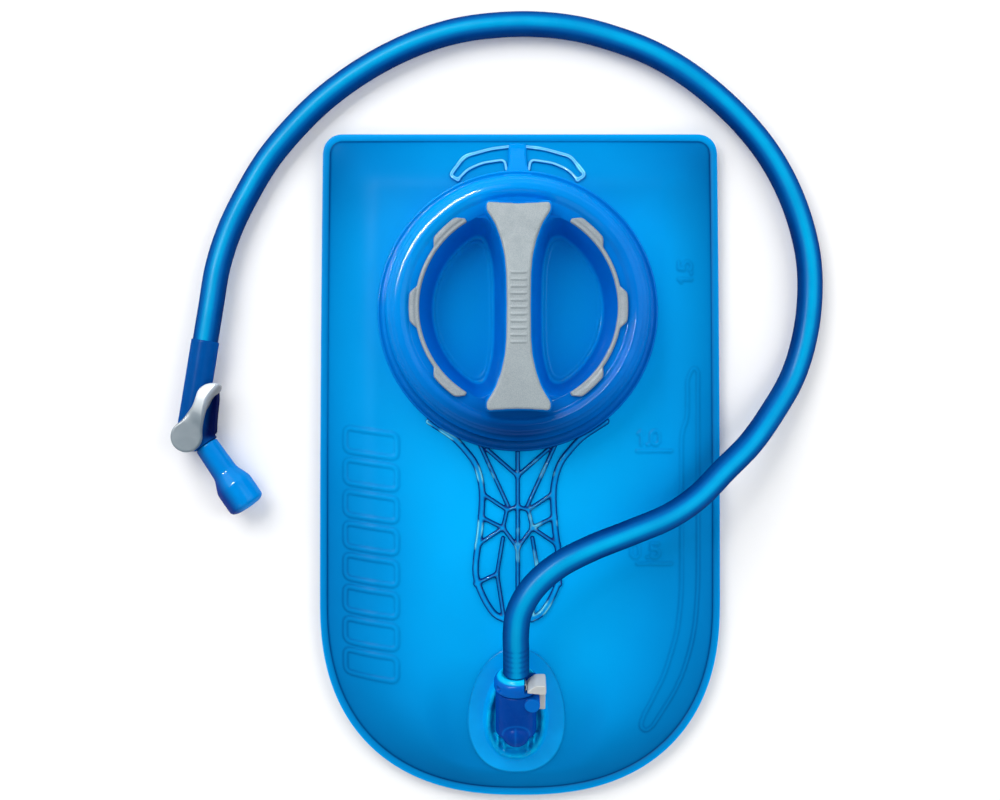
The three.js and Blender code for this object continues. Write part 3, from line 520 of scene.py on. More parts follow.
def hex_grid(x0, y0, rows, columns, spacing):
    """A grid of points that each have six neighbours at the same spacing, and their rows and columns."""
    j, i = np.mgrid[0:rows, 0:columns]
    x = x0 + i * spacing + (j % 2) * spacing / 2
    y = y0 + j * (spacing * math.sqrt(3) / 2)
    return x.ravel(), y.ravel(), j, i


def hex_points(x0, y0, x1, y1, spacing):
    """Such points over a rectangle."""
    rows = int((y1 - y0) / (spacing * math.sqrt(3) / 2)) + 1
    return hex_grid(x0, y0, rows, int((x1 - x0) / spacing) + 1, spacing)[:2]


def level(z):
    """A flat sheet for relief(), at height z."""
    return lambda x, y, f: z + 0 * x


def circle(radius, x, y, count):
    angles = np.arange(count) * 2 * math.pi / count
    return np.column_stack([x + radius * np.cos(angles), y + radius * np.sin(angles)])


# ------------------------------------------------------------------ materials

def linear(red, green, blue):
    """The shader's values for a colour that a screen shows as red, green and blue of 0 to 255."""
    def one(value):
        value /= 255
        return value / 12.92 if value <= 0.04045 else ((value + 0.055) / 1.055) ** 2.4
    return one(red), one(green), one(blue), 1


class Nodes:
    """Short names for the nodes that the materials share."""

    def __init__(self, name):
        self.material = bpy.data.materials.new(name)
        self.material.use_nodes = True
        self.tree = self.material.node_tree
        self.shader = self.tree.nodes["Principled BSDF"]
        self.place = self.tree.nodes.new("ShaderNodeTexCoord").outputs["Object"]

    def new(self, kind, **inputs):
        node = self.tree.nodes.new(kind)
        for key, value in inputs.items():
            socket = node.inputs[key.replace("_", " ")]
            if isinstance(value, bpy.types.NodeSocket):
                self.tree.links.new(value, socket)
            else:
                socket.default_value = value
        return node

    def link(self, source, target):
        self.tree.links.new(source, target)

    def calc(self, operation, first, second):
        node = self.tree.nodes.new("ShaderNodeMath")
        node.operation = operation
        self.link(first, node.inputs[0])
        self.link(second, node.inputs[1])
        return node.outputs[0]

    def noise(self, scale, detail=3, roughness=0.55):
        return self.new("ShaderNodeTexNoise", Vector=self.place, Scale=scale, Detail=detail,
                        Roughness=roughness).outputs["Fac"]

    def attribute(self, name):
        node = self.tree.nodes.new("ShaderNodeAttribute")
        node.attribute_name = name
        return node.outputs["Fac"]

    def spread(self, value, low, high, to_low, to_high):
        node = self.new("ShaderNodeMapRange", Value=value)
        for key, number in zip(("From Min", "From Max", "To Min", "To Max"), (low, high, to_low, to_high)):
            node.inputs[key].default_value = number
        return node.outputs["Result"]

    def mix(self, factor, first, second):
        """Blends two colours. A colour is a socket, a tuple of 0 to 255 as a screen shows it, or four
        plain values."""
        node = self.tree.nodes.new("ShaderNodeMix")
        node.data_type = "RGBA"
        self.link(factor, node.inputs[0])
        for socket, value in zip((node.inputs[6], node.inputs[7]), (first, second)):
            if isinstance(value, bpy.types.NodeSocket):
                self.link(value, socket)
            else:
                socket.default_value = linear(*value) if len(value) == 3 else value
        return node.outputs[2]

    def mottled(self, pattern, low, high, first, second):
        """The first colour where a pattern is under low, the second where it's over high."""
        return self.mix(self.spread(pattern, low, high, 0, 1), first, second)

    def ramp(self, factor, *stops):
        """A colour ramp through stops, each a position and a colour."""
        node = self.new("ShaderNodeValToRGB", Fac=factor)
        elements = node.color_ramp.elements
        for element, (at, colour) in zip(elements, (stops[0], stops[-1])):
            element.position, element.color = at, linear(*colour)
        for at, colour in stops[1:-1]:
            elements.new(at).color = linear(*colour)
        return node.outputs["Color"]

    def bump(self, height, distance, strength=1.0, under=None):
        node = self.new("ShaderNodeBump", Height=height)
        node.inputs["Distance"].default_value = distance
        node.inputs["Strength"].default_value = strength
        if under is not None:
            self.link(under, node.inputs["Normal"])
        return node.outputs["Normal"]

    def deep(self, colour, normal, roughness, skin):
        """Deep-coloured plastic, whose only shine is its thin clear skin."""
        self.link(normal, self.shader.inputs["Coat Normal"])
        self.link(roughness, self.shader.inputs["Coat Roughness"])
        return self.finish(colour, normal, roughness, Specular_IOR_Level=0.0, Coat_Weight=skin)

    def finish(self, colour, normal, roughness, **fixed):
        self.link(colour, self.shader.inputs["Base Color"])
        self.link(normal, self.shader.inputs["Normal"])
        self.link(roughness, self.shader.inputs["Roughness"])
        for key, value in fixed.items():
            self.shader.inputs[key.replace("_", " ")].default_value = value
        return self.material


def moulded_plastic(name, colour, shade, rough=(0.24, 0.32), skin=None, coat=0.06, **toned_to):
    """Hard moulded plastic: faint flow marks, a satin grain and lightly scuffed patches.

    skin makes it deep-coloured; otherwise it's an ordinary pale plastic. Every other name is a point
    attribute and the colour that the plastic turns where that attribute is 1.
    """
    n = Nodes(name)
    flow = n.noise(45, 3)
    base = n.mottled(flow, 0.35, 0.7, shade, colour)
    for attribute, other in toned_to.items():
        base = n.mix(n.attribute(attribute), base, other)
    scuff = n.spread(n.noise(260, 5, 0.7), 0.45, 0.75, *rough)
    normal = n.bump(n.noise(3200, 2), 0.000002, 0.5)
    normal = n.bump(flow, 0.00005, 0.15, normal)
    if skin:
        return n.deep(base, normal, scuff, skin)
    return n.finish(base, normal, scuff, Coat_Weight=coat, Coat_Roughness=0.14)


def soft_rubber(name, colour, shade, depth=0.00006):
    """Matt overmoulded rubber with a stippled skin, a little paler where the stipple stands highest."""
    n = Nodes(name)
    cloud = n.noise(70, 5)
    base = n.mottled(cloud, 0.3, 0.7, shade, colour)
    stipple = n.new("ShaderNodeTexVoronoi", Vector=n.place, Scale=2600).outputs["Distance"]
    base = n.mix(n.spread(stipple, 0.1, 0.6, 0, 0.12), base, (235, 238, 240))
    normal = n.bump(stipple, depth, 0.6)
    normal = n.bump(cloud, 0.0002, 0.25, normal)
    return n.finish(base, normal, n.spread(n.noise(300, 4), 0.3, 0.7, 0.5, 0.72), Sheen_Weight=0.15)


def film_material():
    """Soft welded film, finely matted: painted shade in deeper blue towards the weld, painted light over the
    bright middle.
    """
    n = Nodes("film")
    tone = n.attribute("tone")
    cloud = n.spread(n.noise(11, 3), 0.3, 0.7, -0.05, 0.05)
    # The ramp turns painted light into colour: painted shade at 0, painted light at 1.
    colour = n.ramp(n.calc("ADD", tone, cloud), (0.0, (0, 70, 132)), (0.25, (0, 118, 186)),
                    (0.6, (0, 149, 222)), (1.0, (0, 175, 248)))
    matt = n.noise(5200, 2)
    drape = n.noise(34, 3, 0.5)
    normal = n.bump(matt, 0.000008, 0.4)
    normal = n.bump(drape, 0.0012, 0.16, normal)
    rough = n.spread(n.noise(120, 4), 0.3, 0.7, 0.34, 0.46)
    return n.deep(colour, normal, rough, 0.02)


def clear_material():
    """Clear stiffener: as bright as the film on its tops, with painted shade in navy down its sides where light
    would bend away, small painted highlights scattered on it and a painted highlight line along its tops.
    """
    n = Nodes("clear_blue")
    cloud = n.noise(120, 3)
    top = n.mottled(cloud, 0.35, 0.65, (0, 138, 216), (0, 158, 232))
    # Painted shade down the sides, then small painted highlights, then a painted highlight line on top.
    colour = n.mix(n.attribute("side"), top, (0, 44, 120))
    painted_glint_pattern = n.spread(n.noise(55, 2), 0.56, 0.63, 0, 1)
    colour = n.mix(n.calc("MULTIPLY", painted_glint_pattern, n.attribute("painted_glint")), colour, (120, 236, 255))
    colour = n.mix(n.attribute("painted_crest_highlight"), colour, (140, 222, 255))
    normal = n.bump(n.noise(700, 2), 0.00003, 0.35)
    return n.deep(colour, normal, n.spread(cloud, 0.3, 0.7, 0.04, 0.1), 0.25)


def flange_material():
    """The clear outlet plate takes the film's colour, with a painted highlight over its raised housing and
    painted shade along its edge and inside the housing.
    """
    n = Nodes("flange")
    cloud = n.noise(60, 3)
    plate = n.mottled(cloud, 0.35, 0.65, (0, 154, 230), (0, 162, 238))
    bright = n.mottled(n.noise(170, 3), 0.4, 0.62, (0, 146, 214), (0, 178, 234))
    colour = n.mix(n.attribute("glow"), plate, bright)
    colour = n.mix(n.attribute("side"), colour, (0, 48, 112))
    normal = n.bump(n.noise(500, 2), 0.00003, 0.3)
    rough = n.spread(cloud, 0.3, 0.7, 0.12, 0.22)
    return n.deep(colour, normal, rough, 0.08)


def tube_material():
    """Flexible tube: milky blue along its middle, painted shade at its sides, a little cloudy."""
    n = Nodes("tube")
    cloud = n.noise(26, 3)
    # across carries painted shade down the tube's sides, and the barb's dark rings.
    colour = n.ramp(n.attribute("across"), (0.0, (0, 168, 220)), (0.24, (0, 156, 212)),
                    (0.46, (0, 104, 176)), (0.72, (0, 60, 130)), (1.0, (0, 34, 92)))
    colour = n.mix(n.spread(cloud, 0.35, 0.65, 0, 0.3), colour, (0, 96, 168))
    normal = n.bump(n.noise(600, 3), 0.00002, 0.3)
    rough = n.spread(n.noise(160, 3), 0.3, 0.7, 0.22, 0.34)
    return n.deep(colour, normal, rough, 0.05)


def steel_material():
    """Spring steel with a fine drawn grain."""
    n = Nodes("spring_steel")
    drawn = n.noise(2200, 4)
    colour = n.mix(drawn, (150, 152, 156), (205, 207, 210))
    return n.finish(colour, n.bump(drawn, 0.00002, 0.4), n.spread(drawn, 0.3, 0.7, 0.2, 0.38), Metallic=1.0)


def make_materials():
    # The cap's painted highlight colour round its upper left and painted shade colour over its lower wall.
    cap = {"rough": (0.07, 0.12), "skin": 0.13, "glow": (0, 160, 240), "deep": (0, 34, 94)}
    grey = {"rough": (0.36, 0.5), "coat": 0.03}
    # Each moulded plastic is named, then its colour, its shade for flow marks, and what its point attributes
    # turn to: painted light, painted highlights and painted shade.
    return {
        "film": film_material(),
        "clear_blue": clear_material(),
        "flange": flange_material(),
        "collar": moulded_plastic("collar_blue", (0, 112, 206), (0, 104, 196), **cap),
        "hard_blue": moulded_plastic("hard_blue", (0, 122, 212), (0, 112, 200), **cap),
        # Painted light that brightens the wells' floors.
        "well_blue": moulded_plastic("well_blue", (0, 114, 208), (0, 106, 196), tone=(0, 146, 222), **cap),
        # Painted highlights on the lug and the dome.
        "port": moulded_plastic("port_shell", (0, 70, 160), (0, 60, 148), skin=0.08, tone=(0, 104, 196)),
        # A painted highlight on the rim that faces the hose.
        "connector": moulded_plastic("connector_blue", (0, 96, 190), (0, 84, 176), skin=0.1,
                                     tone=(0, 184, 236)),
        # Painted shade over the guard inside the bend.
        "valve_blue": moulded_plastic("valve_blue", (0, 80, 156), (0, 66, 138), skin=0.05, deep=(0, 12, 66)),
        # Painted shade down the mouthpiece's lower left side.
        "bite": moulded_plastic("bite", (0, 138, 220), (0, 126, 208), rough=(0.06, 0.1), skin=0.18,
                                deep=(0, 44, 128)),
        "grip_grey": soft_rubber("grip_grey", (122, 137, 143), (112, 127, 134)),
        "side_grip": soft_rubber("side_grip", (106, 122, 132), (96, 112, 122)),
        "grey_plastic": moulded_plastic("grey_plastic", (156, 168, 176), (140, 153, 162), **grey),
        # A painted highlight up the arm and painted shade past its ridge.
        "lever": moulded_plastic("lever_grey", (112, 127, 136), (102, 117, 127), rough=(0.3, 0.4), coat=0.1,
                                 glow=(205, 215, 221), deep=(50, 50, 52)),
        "button": moulded_plastic("button_grey", (196, 200, 198), (180, 184, 184), **grey),
        "seal": soft_rubber("seal", (34, 36, 40), (22, 24, 27), depth=0.00003),
        "spring_steel": steel_material(),
        "tube": tube_material(),
    }


# ------------------------------------------------------------------ bag films

def half_width(y):
    """Half the bag's width at a height along it: it narrows a little towards its top end."""
    up = np.clip((y - SHOULDER_Y) / (TOP_Y - SHOULDER_Y), 0, 1)
    return HALF_WIDTH + (TOP_HALF_WIDTH - HALF_WIDTH) * up ** 2


def bag_outline(spacing=1.6):
    """The weld outline, anticlockwise from the middle of the bottom, evenly spaced."""
    angles = np.linspace(-math.pi / 2, 0, 200)
    power = 2 / BOTTOM_POWER
    x = HALF_WIDTH * np.cos(angles) ** power
    y = SHOULDER_Y - BOTTOM_DEPTH * np.abs(np.sin(angles)) ** power
    x[0] = 0
    right = list(zip(x, y))
    for y in np.linspace(SHOULDER_Y, TOP_Y - CORNER_RADIUS, 60)[1:]:
        right.append((float(half_width(y)), y))
    corner = (TOP_HALF_WIDTH - CORNER_RADIUS, TOP_Y - CORNER_RADIUS)
    for angle in np.linspace(0, math.pi / 2, 14)[1:]:
        across, up = CORNER_RADIUS * math.cos(angle), CORNER_RADIUS * math.sin(angle)
        right.append((corner[0] + across, corner[1] + up))
    right.append((0, TOP_Y))
    loop = np.array(right + [(-x, y) for x, y in right[-2:0:-1]])
    closed = np.vstack([loop, loop[:1]])
    lengths = lengths_along(closed)
    at = np.linspace(0, lengths[-1], int(lengths[-1] / spacing), endpoint=False)
    return np.column_stack([np.interp(at, lengths, closed[:, 0]), np.interp(at, lengths, closed[:, 1])])


def inset_loop(loop, distance):
    """An anticlockwise loop moved inward by a distance."""
    along = np.roll(loop, -1, axis=0) - np.roll(loop, 1, axis=0)
    along /= np.linalg.norm(along, axis=1)[:, None]
    return loop + distance * np.column_stack([-along[:, 1], along[:, 0]])


def rise(gap):
    """How far the film has swelled at this distance from an edge, from 0 at the weld to 1."""
    share = np.clip((gap - WELD_BAND) / SWELL_REACH, 0, 1)
    return np.sin(share * math.pi / 2) ** 0.9


def side_gap(x, y):
    """About how far a point is inside the bag's sides and round bottom."""
    down = np.maximum(SHOULDER_Y - y, 0) / BOTTOM_DEPTH
    across = np.abs(x) / half_width(y)
    return (1 - (across ** BOTTOM_POWER + down ** BOTTOM_POWER) ** (1 / BOTTOM_POWER)) * BOTTOM_DEPTH


def swell(x, y):
    return rise(side_gap(x, y)) * rise(TOP_Y - y)


def outlet_seat(y):
    """Height of the gently sloped plane that the outlet's plate lies on."""
    return FLANGE_Z + (y - SEAT_Y) * SEAT_SLOPE


def front_height(x, y):
    """Upper side of the front film, which is drawn down flat under the outlet's plate."""
    low = SEAM_Z + FRONT_LIFT
    dome = low + (BAG_DEPTH - low) * swell(x, y)
    away = np.hypot((x - PORT[0]) / SEAT_HALF_WIDTH, (y - PORT[1]) / SEAT_HALF_LENGTH)
    seated = 1 - smoothstep(away, 1, 1.5)
    return dome + (np.minimum(dome, outlet_seat(y) - 0.6) - dome) * seated


def film_lifted(lift):
    """A sheet for relief() that lies at this height over the front film."""
    return lambda x, y, f: front_height(x, y) + lift


def back_height(x, y):
    """Upper side of the back film."""
    return SKIN + (SEAM_Z - BACK_DROP - SKIN) * (1 - swell(x, y))


def film_tone(x, y, gap):
    """Painted light and shade on the film: 0 for painted shade along the weld and the corners, 1 for painted
    light over the bright middle. gap is the distance in from the bag's edge. Near the top end it varies only
    from side to side. The weld band has painted light of its own, with a painted highlight at its rim."""
    # Painted shade towards the bag's ends and round its lower part.
    ends = 0.12 * smoothstep(-y, 10, 75) + 0.08 * smoothstep(-y, 85, 160)
    lower = 1 - 0.3 * smoothstep(-y, -30, 50) * (1 - smoothstep(gap, 15, 85))
    tone = (0.3 + 0.7 * smoothstep(gap, -11, 65)) * lower * (1 - ends)
    across = 0.2 + 0.22 * smoothstep(half_width(y) - np.abs(x), 2, 64)
    tone = tone + smoothstep(y, 92, 150) * (across - tone)
    band = 1 - smoothstep(gap, WELD_BAND - 0.6, WELD_BAND)
    rim = 1 - smoothstep(gap, 0, 1.0)
    top = smoothstep(y, 150, 156)
    # Painted highlight on the weld band's rim, stronger towards the bag's bottom.
    lit = 0.14 + 0.24 * smoothstep(-y, 60, 100)
    tone = tone + band * (0.42 + 0.2 * top + lit * rim - tone)
    # Painted shade along the weld's pressed groove.
    return np.clip(tone - 0.26 * bell(gap, WELD_BAND, GROOVE_WIDTH), 0, 1)


def film_mesh(name, height, tone_at, holes, fine_boxes=()):
    """One film: rows of points along its weld and round its holes, and a grid over the rest, which is
    finer in the boxes where it is embossed."""
    outline = bag_outline()
    field = outline_field(outline)
    x, y = hex_points(BAG_LOW[0], BAG_LOW[1], BAG_HIGH[0], BAG_HIGH[1], FILM_GRID)
    free = -field(x, y) > WELD_MARGIN
    for cx, cy, radius in holes:
        free &= np.hypot(x - cx, y - cy) > radius + 1.6
    for box in fine_boxes:
        free &= ~((x > box[0]) & (x < box[2]) & (y > box[1]) & (y < box[3]))
    points = [np.column_stack([x[free], y[free]])]
    for box in fine_boxes:
        fine_x, fine_y = hex_points(*box, FINE_GRID)
        inner = -field(fine_x, fine_y) > WELD_MARGIN
        points.append(np.column_stack([fine_x[inner], fine_y[inner]]))
    points += [inset_loop(outline, distance) for distance in WELD_ROWS]
    hole_rings = []
    for cx, cy, radius in holes:
        count = int(2 * math.pi * radius / FILM_GRID)
        hole_rings.append(circle(radius, cx, cy, count))
        points.append(circle(radius + 0.9, cx, cy, count))
    cut = [outline_field(ring) for ring in hole_rings]

    def keep(cx, cy):
        kept = np.ones(len(cx), bool)
        for hole in cut:
            kept &= hole(cx, cy) > 0
        return kept

    x, y, triangles = region([outline, *hole_rings], np.vstack(points), keep)
    gap = -field(x, y)
    top = height(x, y, gap)
    data = walled(x, y, triangles, top, top - SKIN)
    # Painted light and shade for the film's colour.
    tone = tone_at(x, y, gap)
    return mesh_from(name, data, {"tone": np.concatenate([tone, tone])}, sharp=60)


def weld_relief(gap):
    """The weld band's pressed groove and its slightly thickened lip, from the distance to the edge."""
    return 0.25 * bell(gap, 0.9, 0.7) - 0.45 * bell(gap, WELD_BAND, GROOVE_WIDTH)


# Fill gauge on the right of the front: a long slim channel that steps out once and turns in at its
# lower end, with the level numbers beside it.
GAUGE_LEFT = [(79, 40), (79, 22), (76, 16), (76, -60), (74, -78), (68, -98), (58, -118)]
GAUGE_RIGHT = [(84.5, 44), (84.5, -58), (82.5, -80), (76, -102), (63, -123)]
# Each mark's strokes, on a grid that is 2 high.
DIGITS = {
    "0": [[(0.4, 0), (0, 0.4), (0, 1.6), (0.4, 2), (0.8, 2), (1.2, 1.6), (1.2, 0.4), (0.8, 0), (0.4, 0)]],
    "1": [[(0.2, 1.6), (0.6, 2), (0.6, 0)]],
    "5": [[(1.1, 2), (0.1, 2), (0.05, 1.15), (0.8, 1.2), (1.2, 0.8), (1.2, 0.4), (0.8, 0), (0.3, 0),
           (0, 0.3)]],
    ".": [[(0.5, 0), (0.7, 0)]],
}
DIGIT_SIZE = 3.2                            # half the height of a number
# Each level's text, place and turn in degrees.
LEVELS = [("1.5", 81, 86, 90), ("1.0", 55, 10, 0), ("0.5", 52, -43, 0)]
LEVEL_LINES = (7, -46)
EMBOSS_HEIGHT = 0.5
# The boxes that hold the embossed lines: the low corner and the high one.
EMBOSS_RIGHT = (50, -128, 88, 103)
EMBOSS_LEFT = (-87, -105, -54, 22)


def written(text, x, y, turn):
    """The strokes of a short number that starts at x, y and is turned by some degrees."""
    c, s = math.cos(math.radians(turn)), math.sin(math.radians(turn))
    runs, pen = [], 0
    for mark in text:
        for stroke in DIGITS[mark]:
            placed = [((px + pen) * DIGIT_SIZE, py * DIGIT_SIZE) for px, py in stroke]
            runs.append(([(x + px * c - py * s, y + px * s + py * c) for px, py in placed], 0.3))
        pen += 1.0 if mark in ".1" else 1.9
    return runs


def gauge_runs():
    """The fill gauge's outline, its level numbers and the lines under them."""
    left = softened(GAUGE_LEFT, 6, 6)
    right = softened(GAUGE_RIGHT, 10, 6)
    end = softened([GAUGE_LEFT[-1], (56.5, -123), (59.5, -126), GAUGE_RIGHT[-1]], 2.5, 5)
    head = softened([GAUGE_LEFT[0], (80.5, 44.5), (83, 46.5), GAUGE_RIGHT[0]], 2.5, 5)
    runs = [(side, 0.45) for side in (left, right, end, head)]
    for number in LEVELS:
        runs += written(*number)
    for y in LEVEL_LINES:
        runs.append(([(55, y), (71, y)], 0.3))
    return runs


def left_pattern():
    """Outlined lozenges down the left side, as a plain embossed panel."""
    runs = []
    for k in range(8):
        y = 12 - 15 * k
        lozenge = [(-83, y - 5), (-58, y - 8.5), (-58, y + 2.5), (-83, y + 6)]
        ring = softened(lozenge, 3, 5, closed=True)
        runs.append(([*ring, ring[0]], 0.7))
    return runs


def emboss_gap(x, y):
    """Distance to the nearest embossed line, or a very large number far from all of them."""
    away = np.full(np.shape(x), 1e9)
    for box, runs in ((EMBOSS_RIGHT, gauge_runs()), (EMBOSS_LEFT, left_pattern())):
        near = (x > box[0] - 2) & (x < box[2] + 2) & (y > box[1] - 2) & (y < box[3] + 2)
        away[near] = distance_to_runs(x[near], y[near], runs)
    return away


def front_surface(x, y, gap):
    embossed = EMBOSS_HEIGHT * (1 - smoothstep(emboss_gap(x, y), -0.1, 0.75))
    return front_height(x, y) + weld_relief(gap) + embossed


def front_tone(x, y, gap):
    """The film's painted light, with a little painted shade along the foot of each embossed line."""
    return np.clip(film_tone(x, y, gap) - 0.16 * bell(emboss_gap(x, y), 0.5, 0.55), 0, 1)


def back_surface(x, y, gap):
    return back_height(x, y) - weld_relief(gap) * 0.5


def make_films(materials):
    holes = [(CAP_X, CAP_Y, NECK_HOLE), (PORT[0], OUTLET_STEM_Y, OUTLET_HOLE)]
    mesh = film_mesh("front_film_skin", front_surface, front_tone, holes, (EMBOSS_RIGHT, EMBOSS_LEFT))
    front = piece("front_film_skin", mesh, materials["film"], "bag", ["front_film"])
    mesh = film_mesh("back_film_skin", back_surface, film_tone, [])
    back = piece("back_film_skin", mesh, materials["film"], "bag", ["back_film"])


# ------------------------------------------------------------------ clear stiffeners

def mirrored(run):
    """The same run on the other side of the cap's middle."""
    return [(2 * CAP_X - x, y) for x, y in run]


# The tongue's left edge, and the ribs of its left half.
TONGUE_SIDE = [(-42.9, 20.9), (-30.7, 13.1), (-20.8, 1.4), (-18, -9.4), (-18, -17.9), (-19, -31),
               (-20.8, -42.7), (-21.3, -50.7), (-19.5, -57.3), (-15.7, -65.2), (-11, -71.3), (CAP_X, -72.7)]
TONGUE_RIBS = [
    [(CAP_X, -4.7), (-15.7, 7.9)],
    [(-19, 9.9), (-5.9, -18.6)],
    [(CAP_X, -19.2), (-6.3, -20.6), (-8.2, -29.1), (CAP_X, -38.5)],
    [(-17.6, -13.2), (-6.3, -20.6)],
    [(-8.2, -29.1), (-18.4, -24)],
    [(-8.2, -29.1), (-20, -37)],
    [(-8.2, -33.8), (-11, -50.7), (-21.1, -55.4)],
    [(-11, -50.7), (-7.7, -72)],
]


def outside_collar(x, y, overlap):
    """Below 0 outside the collar's flange, and for a small overlap within its edge."""
    return FLANGE_RADIUS - overlap - np.hypot(x - CAP_X, y - CAP_Y)


def tongue_field(x, y):
    spine = [(CAP_X, 10), (CAP_X, -66)]
    total = distance_to_runs(x, y, [(spine, 1.05)])
    for run in TONGUE_RIBS:
        for side in (run, mirrored(run)):
            total = blended(total, distance_to_runs(x, y, [(side, 1.0)]), 1.1)
    outer = softened(TONGUE_SIDE, 5, 5)
    for side in (outer, mirrored(outer)):
        total = blended(total, distance_to_runs(x, y, [(side, 1.55)]), 1.4)
    return np.maximum(total, outside_collar(x, y, 0.4))


def ridge_top(height, flank):
    """A rib's height above the film, rounded over towards its edge."""
    def top(x, y, f):
        return front_height(x, y) + 0.1 + height * round_over(f, flank, 0.02)
    return top


def sides(f, low, high):
    """1 on a rib's flanks, 0 from high inside its edge."""
    return 1 - smoothstep(-f, low, high)


def make_tongue(materials):
    bounds = ((-46, -76), (44, 24))
    data, f = relief(tongue_field, bounds, 0.42, ridge_top(1.5, 0.9), film_lifted(-0.1))
    # Painted shade down the ribs' sides and small painted highlights along them; no painted highlight line on
    # their tops.
    looks = {"side": sides(f, 0.3, 1.15), "painted_glint": bell(f, -0.55, 0.3), "painted_crest_highlight": 0 * f}
    piece("lattice_tongue_clear", data, materials["clear_blue"], "bag", ["lattice_tongue"],
          looks, sharp=70)


# The left arch's outer and inner bars.
ARCH_OUTER = [(-4.9, 152.0), (-14, 150.6), (-26.4, 146.6), (-33.2, 136.6), (-29.4, 134.6)]
ARCH_INNER = [(-29.4, 134.6), (-25, 139.6), (-18, 143), (-7.4, 144.8), (-6.6, 139.6)]


def arch_field(side):
    outer, inner = softened(ARCH_OUTER, 2.5, 5), softened(ARCH_INNER, 2.5, 5)
    if side > 0:
        outer, inner = mirrored(outer), mirrored(inner)

    def field(x, y):
        bars = distance_to_runs(x, y, [(outer, 1.15)]), distance_to_runs(x, y, [(inner, 0.95)])
        return np.maximum(blended(*bars, 1), outside_collar(x, y, 0.2))
    return field


def make_arches(materials):
    for side, name, left, right in ((-1, "arch_left", -36, -3), (1, "arch_right", 0, 34)):
        bounds = ((left, 132), (right, 155))
        data, f = relief(arch_field(side), bounds, 0.32, ridge_top(1.3, 0.8), film_lifted(-0.1))
        # Painted shade down the bars' sides, small painted highlights, and a painted highlight line along each
        # bar's top.
        looks = {"side": 0.5 * sides(f, 0.12, 0.6), "painted_glint": bell(f, -0.5, 0.4),
                 "painted_crest_highlight": 0.75 * bell(f, -0.75, 0.24)}
        piece(name + "_clear", data, materials["clear_blue"], "bag", [name], looks, sharp=70)


# ------------------------------------------------------------------ filling collar and cap

# The neck and flange: radii, heights, and the two ridges that stand for the neck's screw.
NECK_BORE = 47.6
NECK_RADIUS = 50.6
NECK_FOOT = 16.6
NECK_TOP = 37.9
RIDGE_RADIUS = 52.5
RIDGE_HEIGHTS = (27, 31)
FLANGE_TOP = 21.9
STEM_HALF_WIDTH = 4.4
STEM_ROOT_HALF_WIDTH = 7.4


def neck_and_flange():
    """The collar's turned part, with a shallow groove round its flange."""
    profile = [(NECK_BORE, NECK_FOOT), (NECK_RADIUS - 0.2, NECK_FOOT), (NECK_RADIUS, FLANGE_Z),
               (FLANGE_RADIUS, FLANGE_Z), (FLANGE_RADIUS, 21.2), (65.2, FLANGE_TOP), (64.4, 21.4),
               (63.4, 21.4), (62.8, 22.1), (61.4, 22.1), (60.6, 21.6), (55, 21.8), (51, 22.6)]
    for z in RIDGE_HEIGHTS:
        profile += [(NECK_RADIUS, z - 1.6), (RIDGE_RADIUS, z - 0.4), (RIDGE_RADIUS, z + 0.4),
                    (NECK_RADIUS, z + 1.6)]
    profile += [(NECK_RADIUS - 0.2, NECK_TOP), (NECK_BORE, NECK_TOP)]
    return on_cap(turned(softened(profile, 0.5, 4, closed=True), 180, closed=True))


def collar_stem():
    """The tapering strip from the flange to the weld at the bag's top end."""
    half, root = STEM_HALF_WIDTH, STEM_ROOT_HALF_WIDTH
    side = [(-root, 131 - CAP_Y), (-root + 0.6, 136 - CAP_Y), (-half - 0.4, 141 - CAP_Y),
            (-half, 145 - CAP_Y), (-half, 154 - CAP_Y)]
    outline = [*side, *[(-x, y) for x, y in reversed(side)]]
    outline = [(x + CAP_X, y + CAP_Y) for x, y in softened(outline, 1.2, 4, closed=True)]

    def top(x, y, f):
        edge = round_over(f, 1.6, 0.02)
        lean = smoothstep(y, 136, 149)
        return np.maximum(front_height(x, y) + 2.6 * edge, (FLANGE_TOP - 0.4 * (1 - edge)) * (1 - lean))

    bounds = ((CAP_X - 9, 130), (CAP_X + 9, 156))
    return relief(outline_field(outline), bounds, 0.4, top, film_lifted(0.15))[0]


def make_collar(materials):
    collar = joined(neck_and_flange(), collar_stem())
    # The collar carries the cap's painted highlight and painted shade.
    piece("fill_collar_ring", collar, materials["collar"], "bag",
          ["fill_collar"], cap_painted_light(collar[0] - CAP_MIDDLE), sharp=50)


def on_cap(data):
    """Places shapes made round the cap's own middle."""
    return moved(data, shift=CAP_MIDDLE)


# Half of the handle's plan, from the middle of its right side to the middle of its top end.
HANDLE_SIDE = [(5.3, 0), (5.45, 14), (6.1, 22), (7.8, 29.5), (10.3, 36.5), (12.6, 40.2), (14.4, 42.8),
               (14.3, 46.7), (7, 46.2), (0, 45.9)]


def handle_plan(grow):
    """The handle's outline, wider all round by some millimetres."""
    quarter = softened(HANDLE_SIDE, 1.9, 6)
    top = quarter + [(-x, y) for x, y in quarter[-2::-1]]
    loop = top + [(-x, -y) for x, y in top[1:-1]]
    loop = np.array([tuple(p) for p in loop])
    return inset_loop(loop, -grow) if grow else loop


def cap_painted_light(points):
    """Painted light on the cap: a painted highlight round its upper left, painted shade over its lower wall."""
    radius = np.hypot(points[:, 0], points[:, 1])
    angle = np.degrees(np.arctan2(points[:, 1], points[:, 0]))
    glow = (0.5 + 0.5 * np.cos(np.radians(angle - 125))) ** 2.4
    crown = smoothstep(radius, 51, 54) - smoothstep(radius, 58, 60.5)
    wall = smoothstep(radius, 42, 48) * (0.5 + 0.35 * crown)
    return {"glow": 0.7 * glow * smoothstep(radius, 46, 52), "deep": wall * bell(angle, -92, 36)}


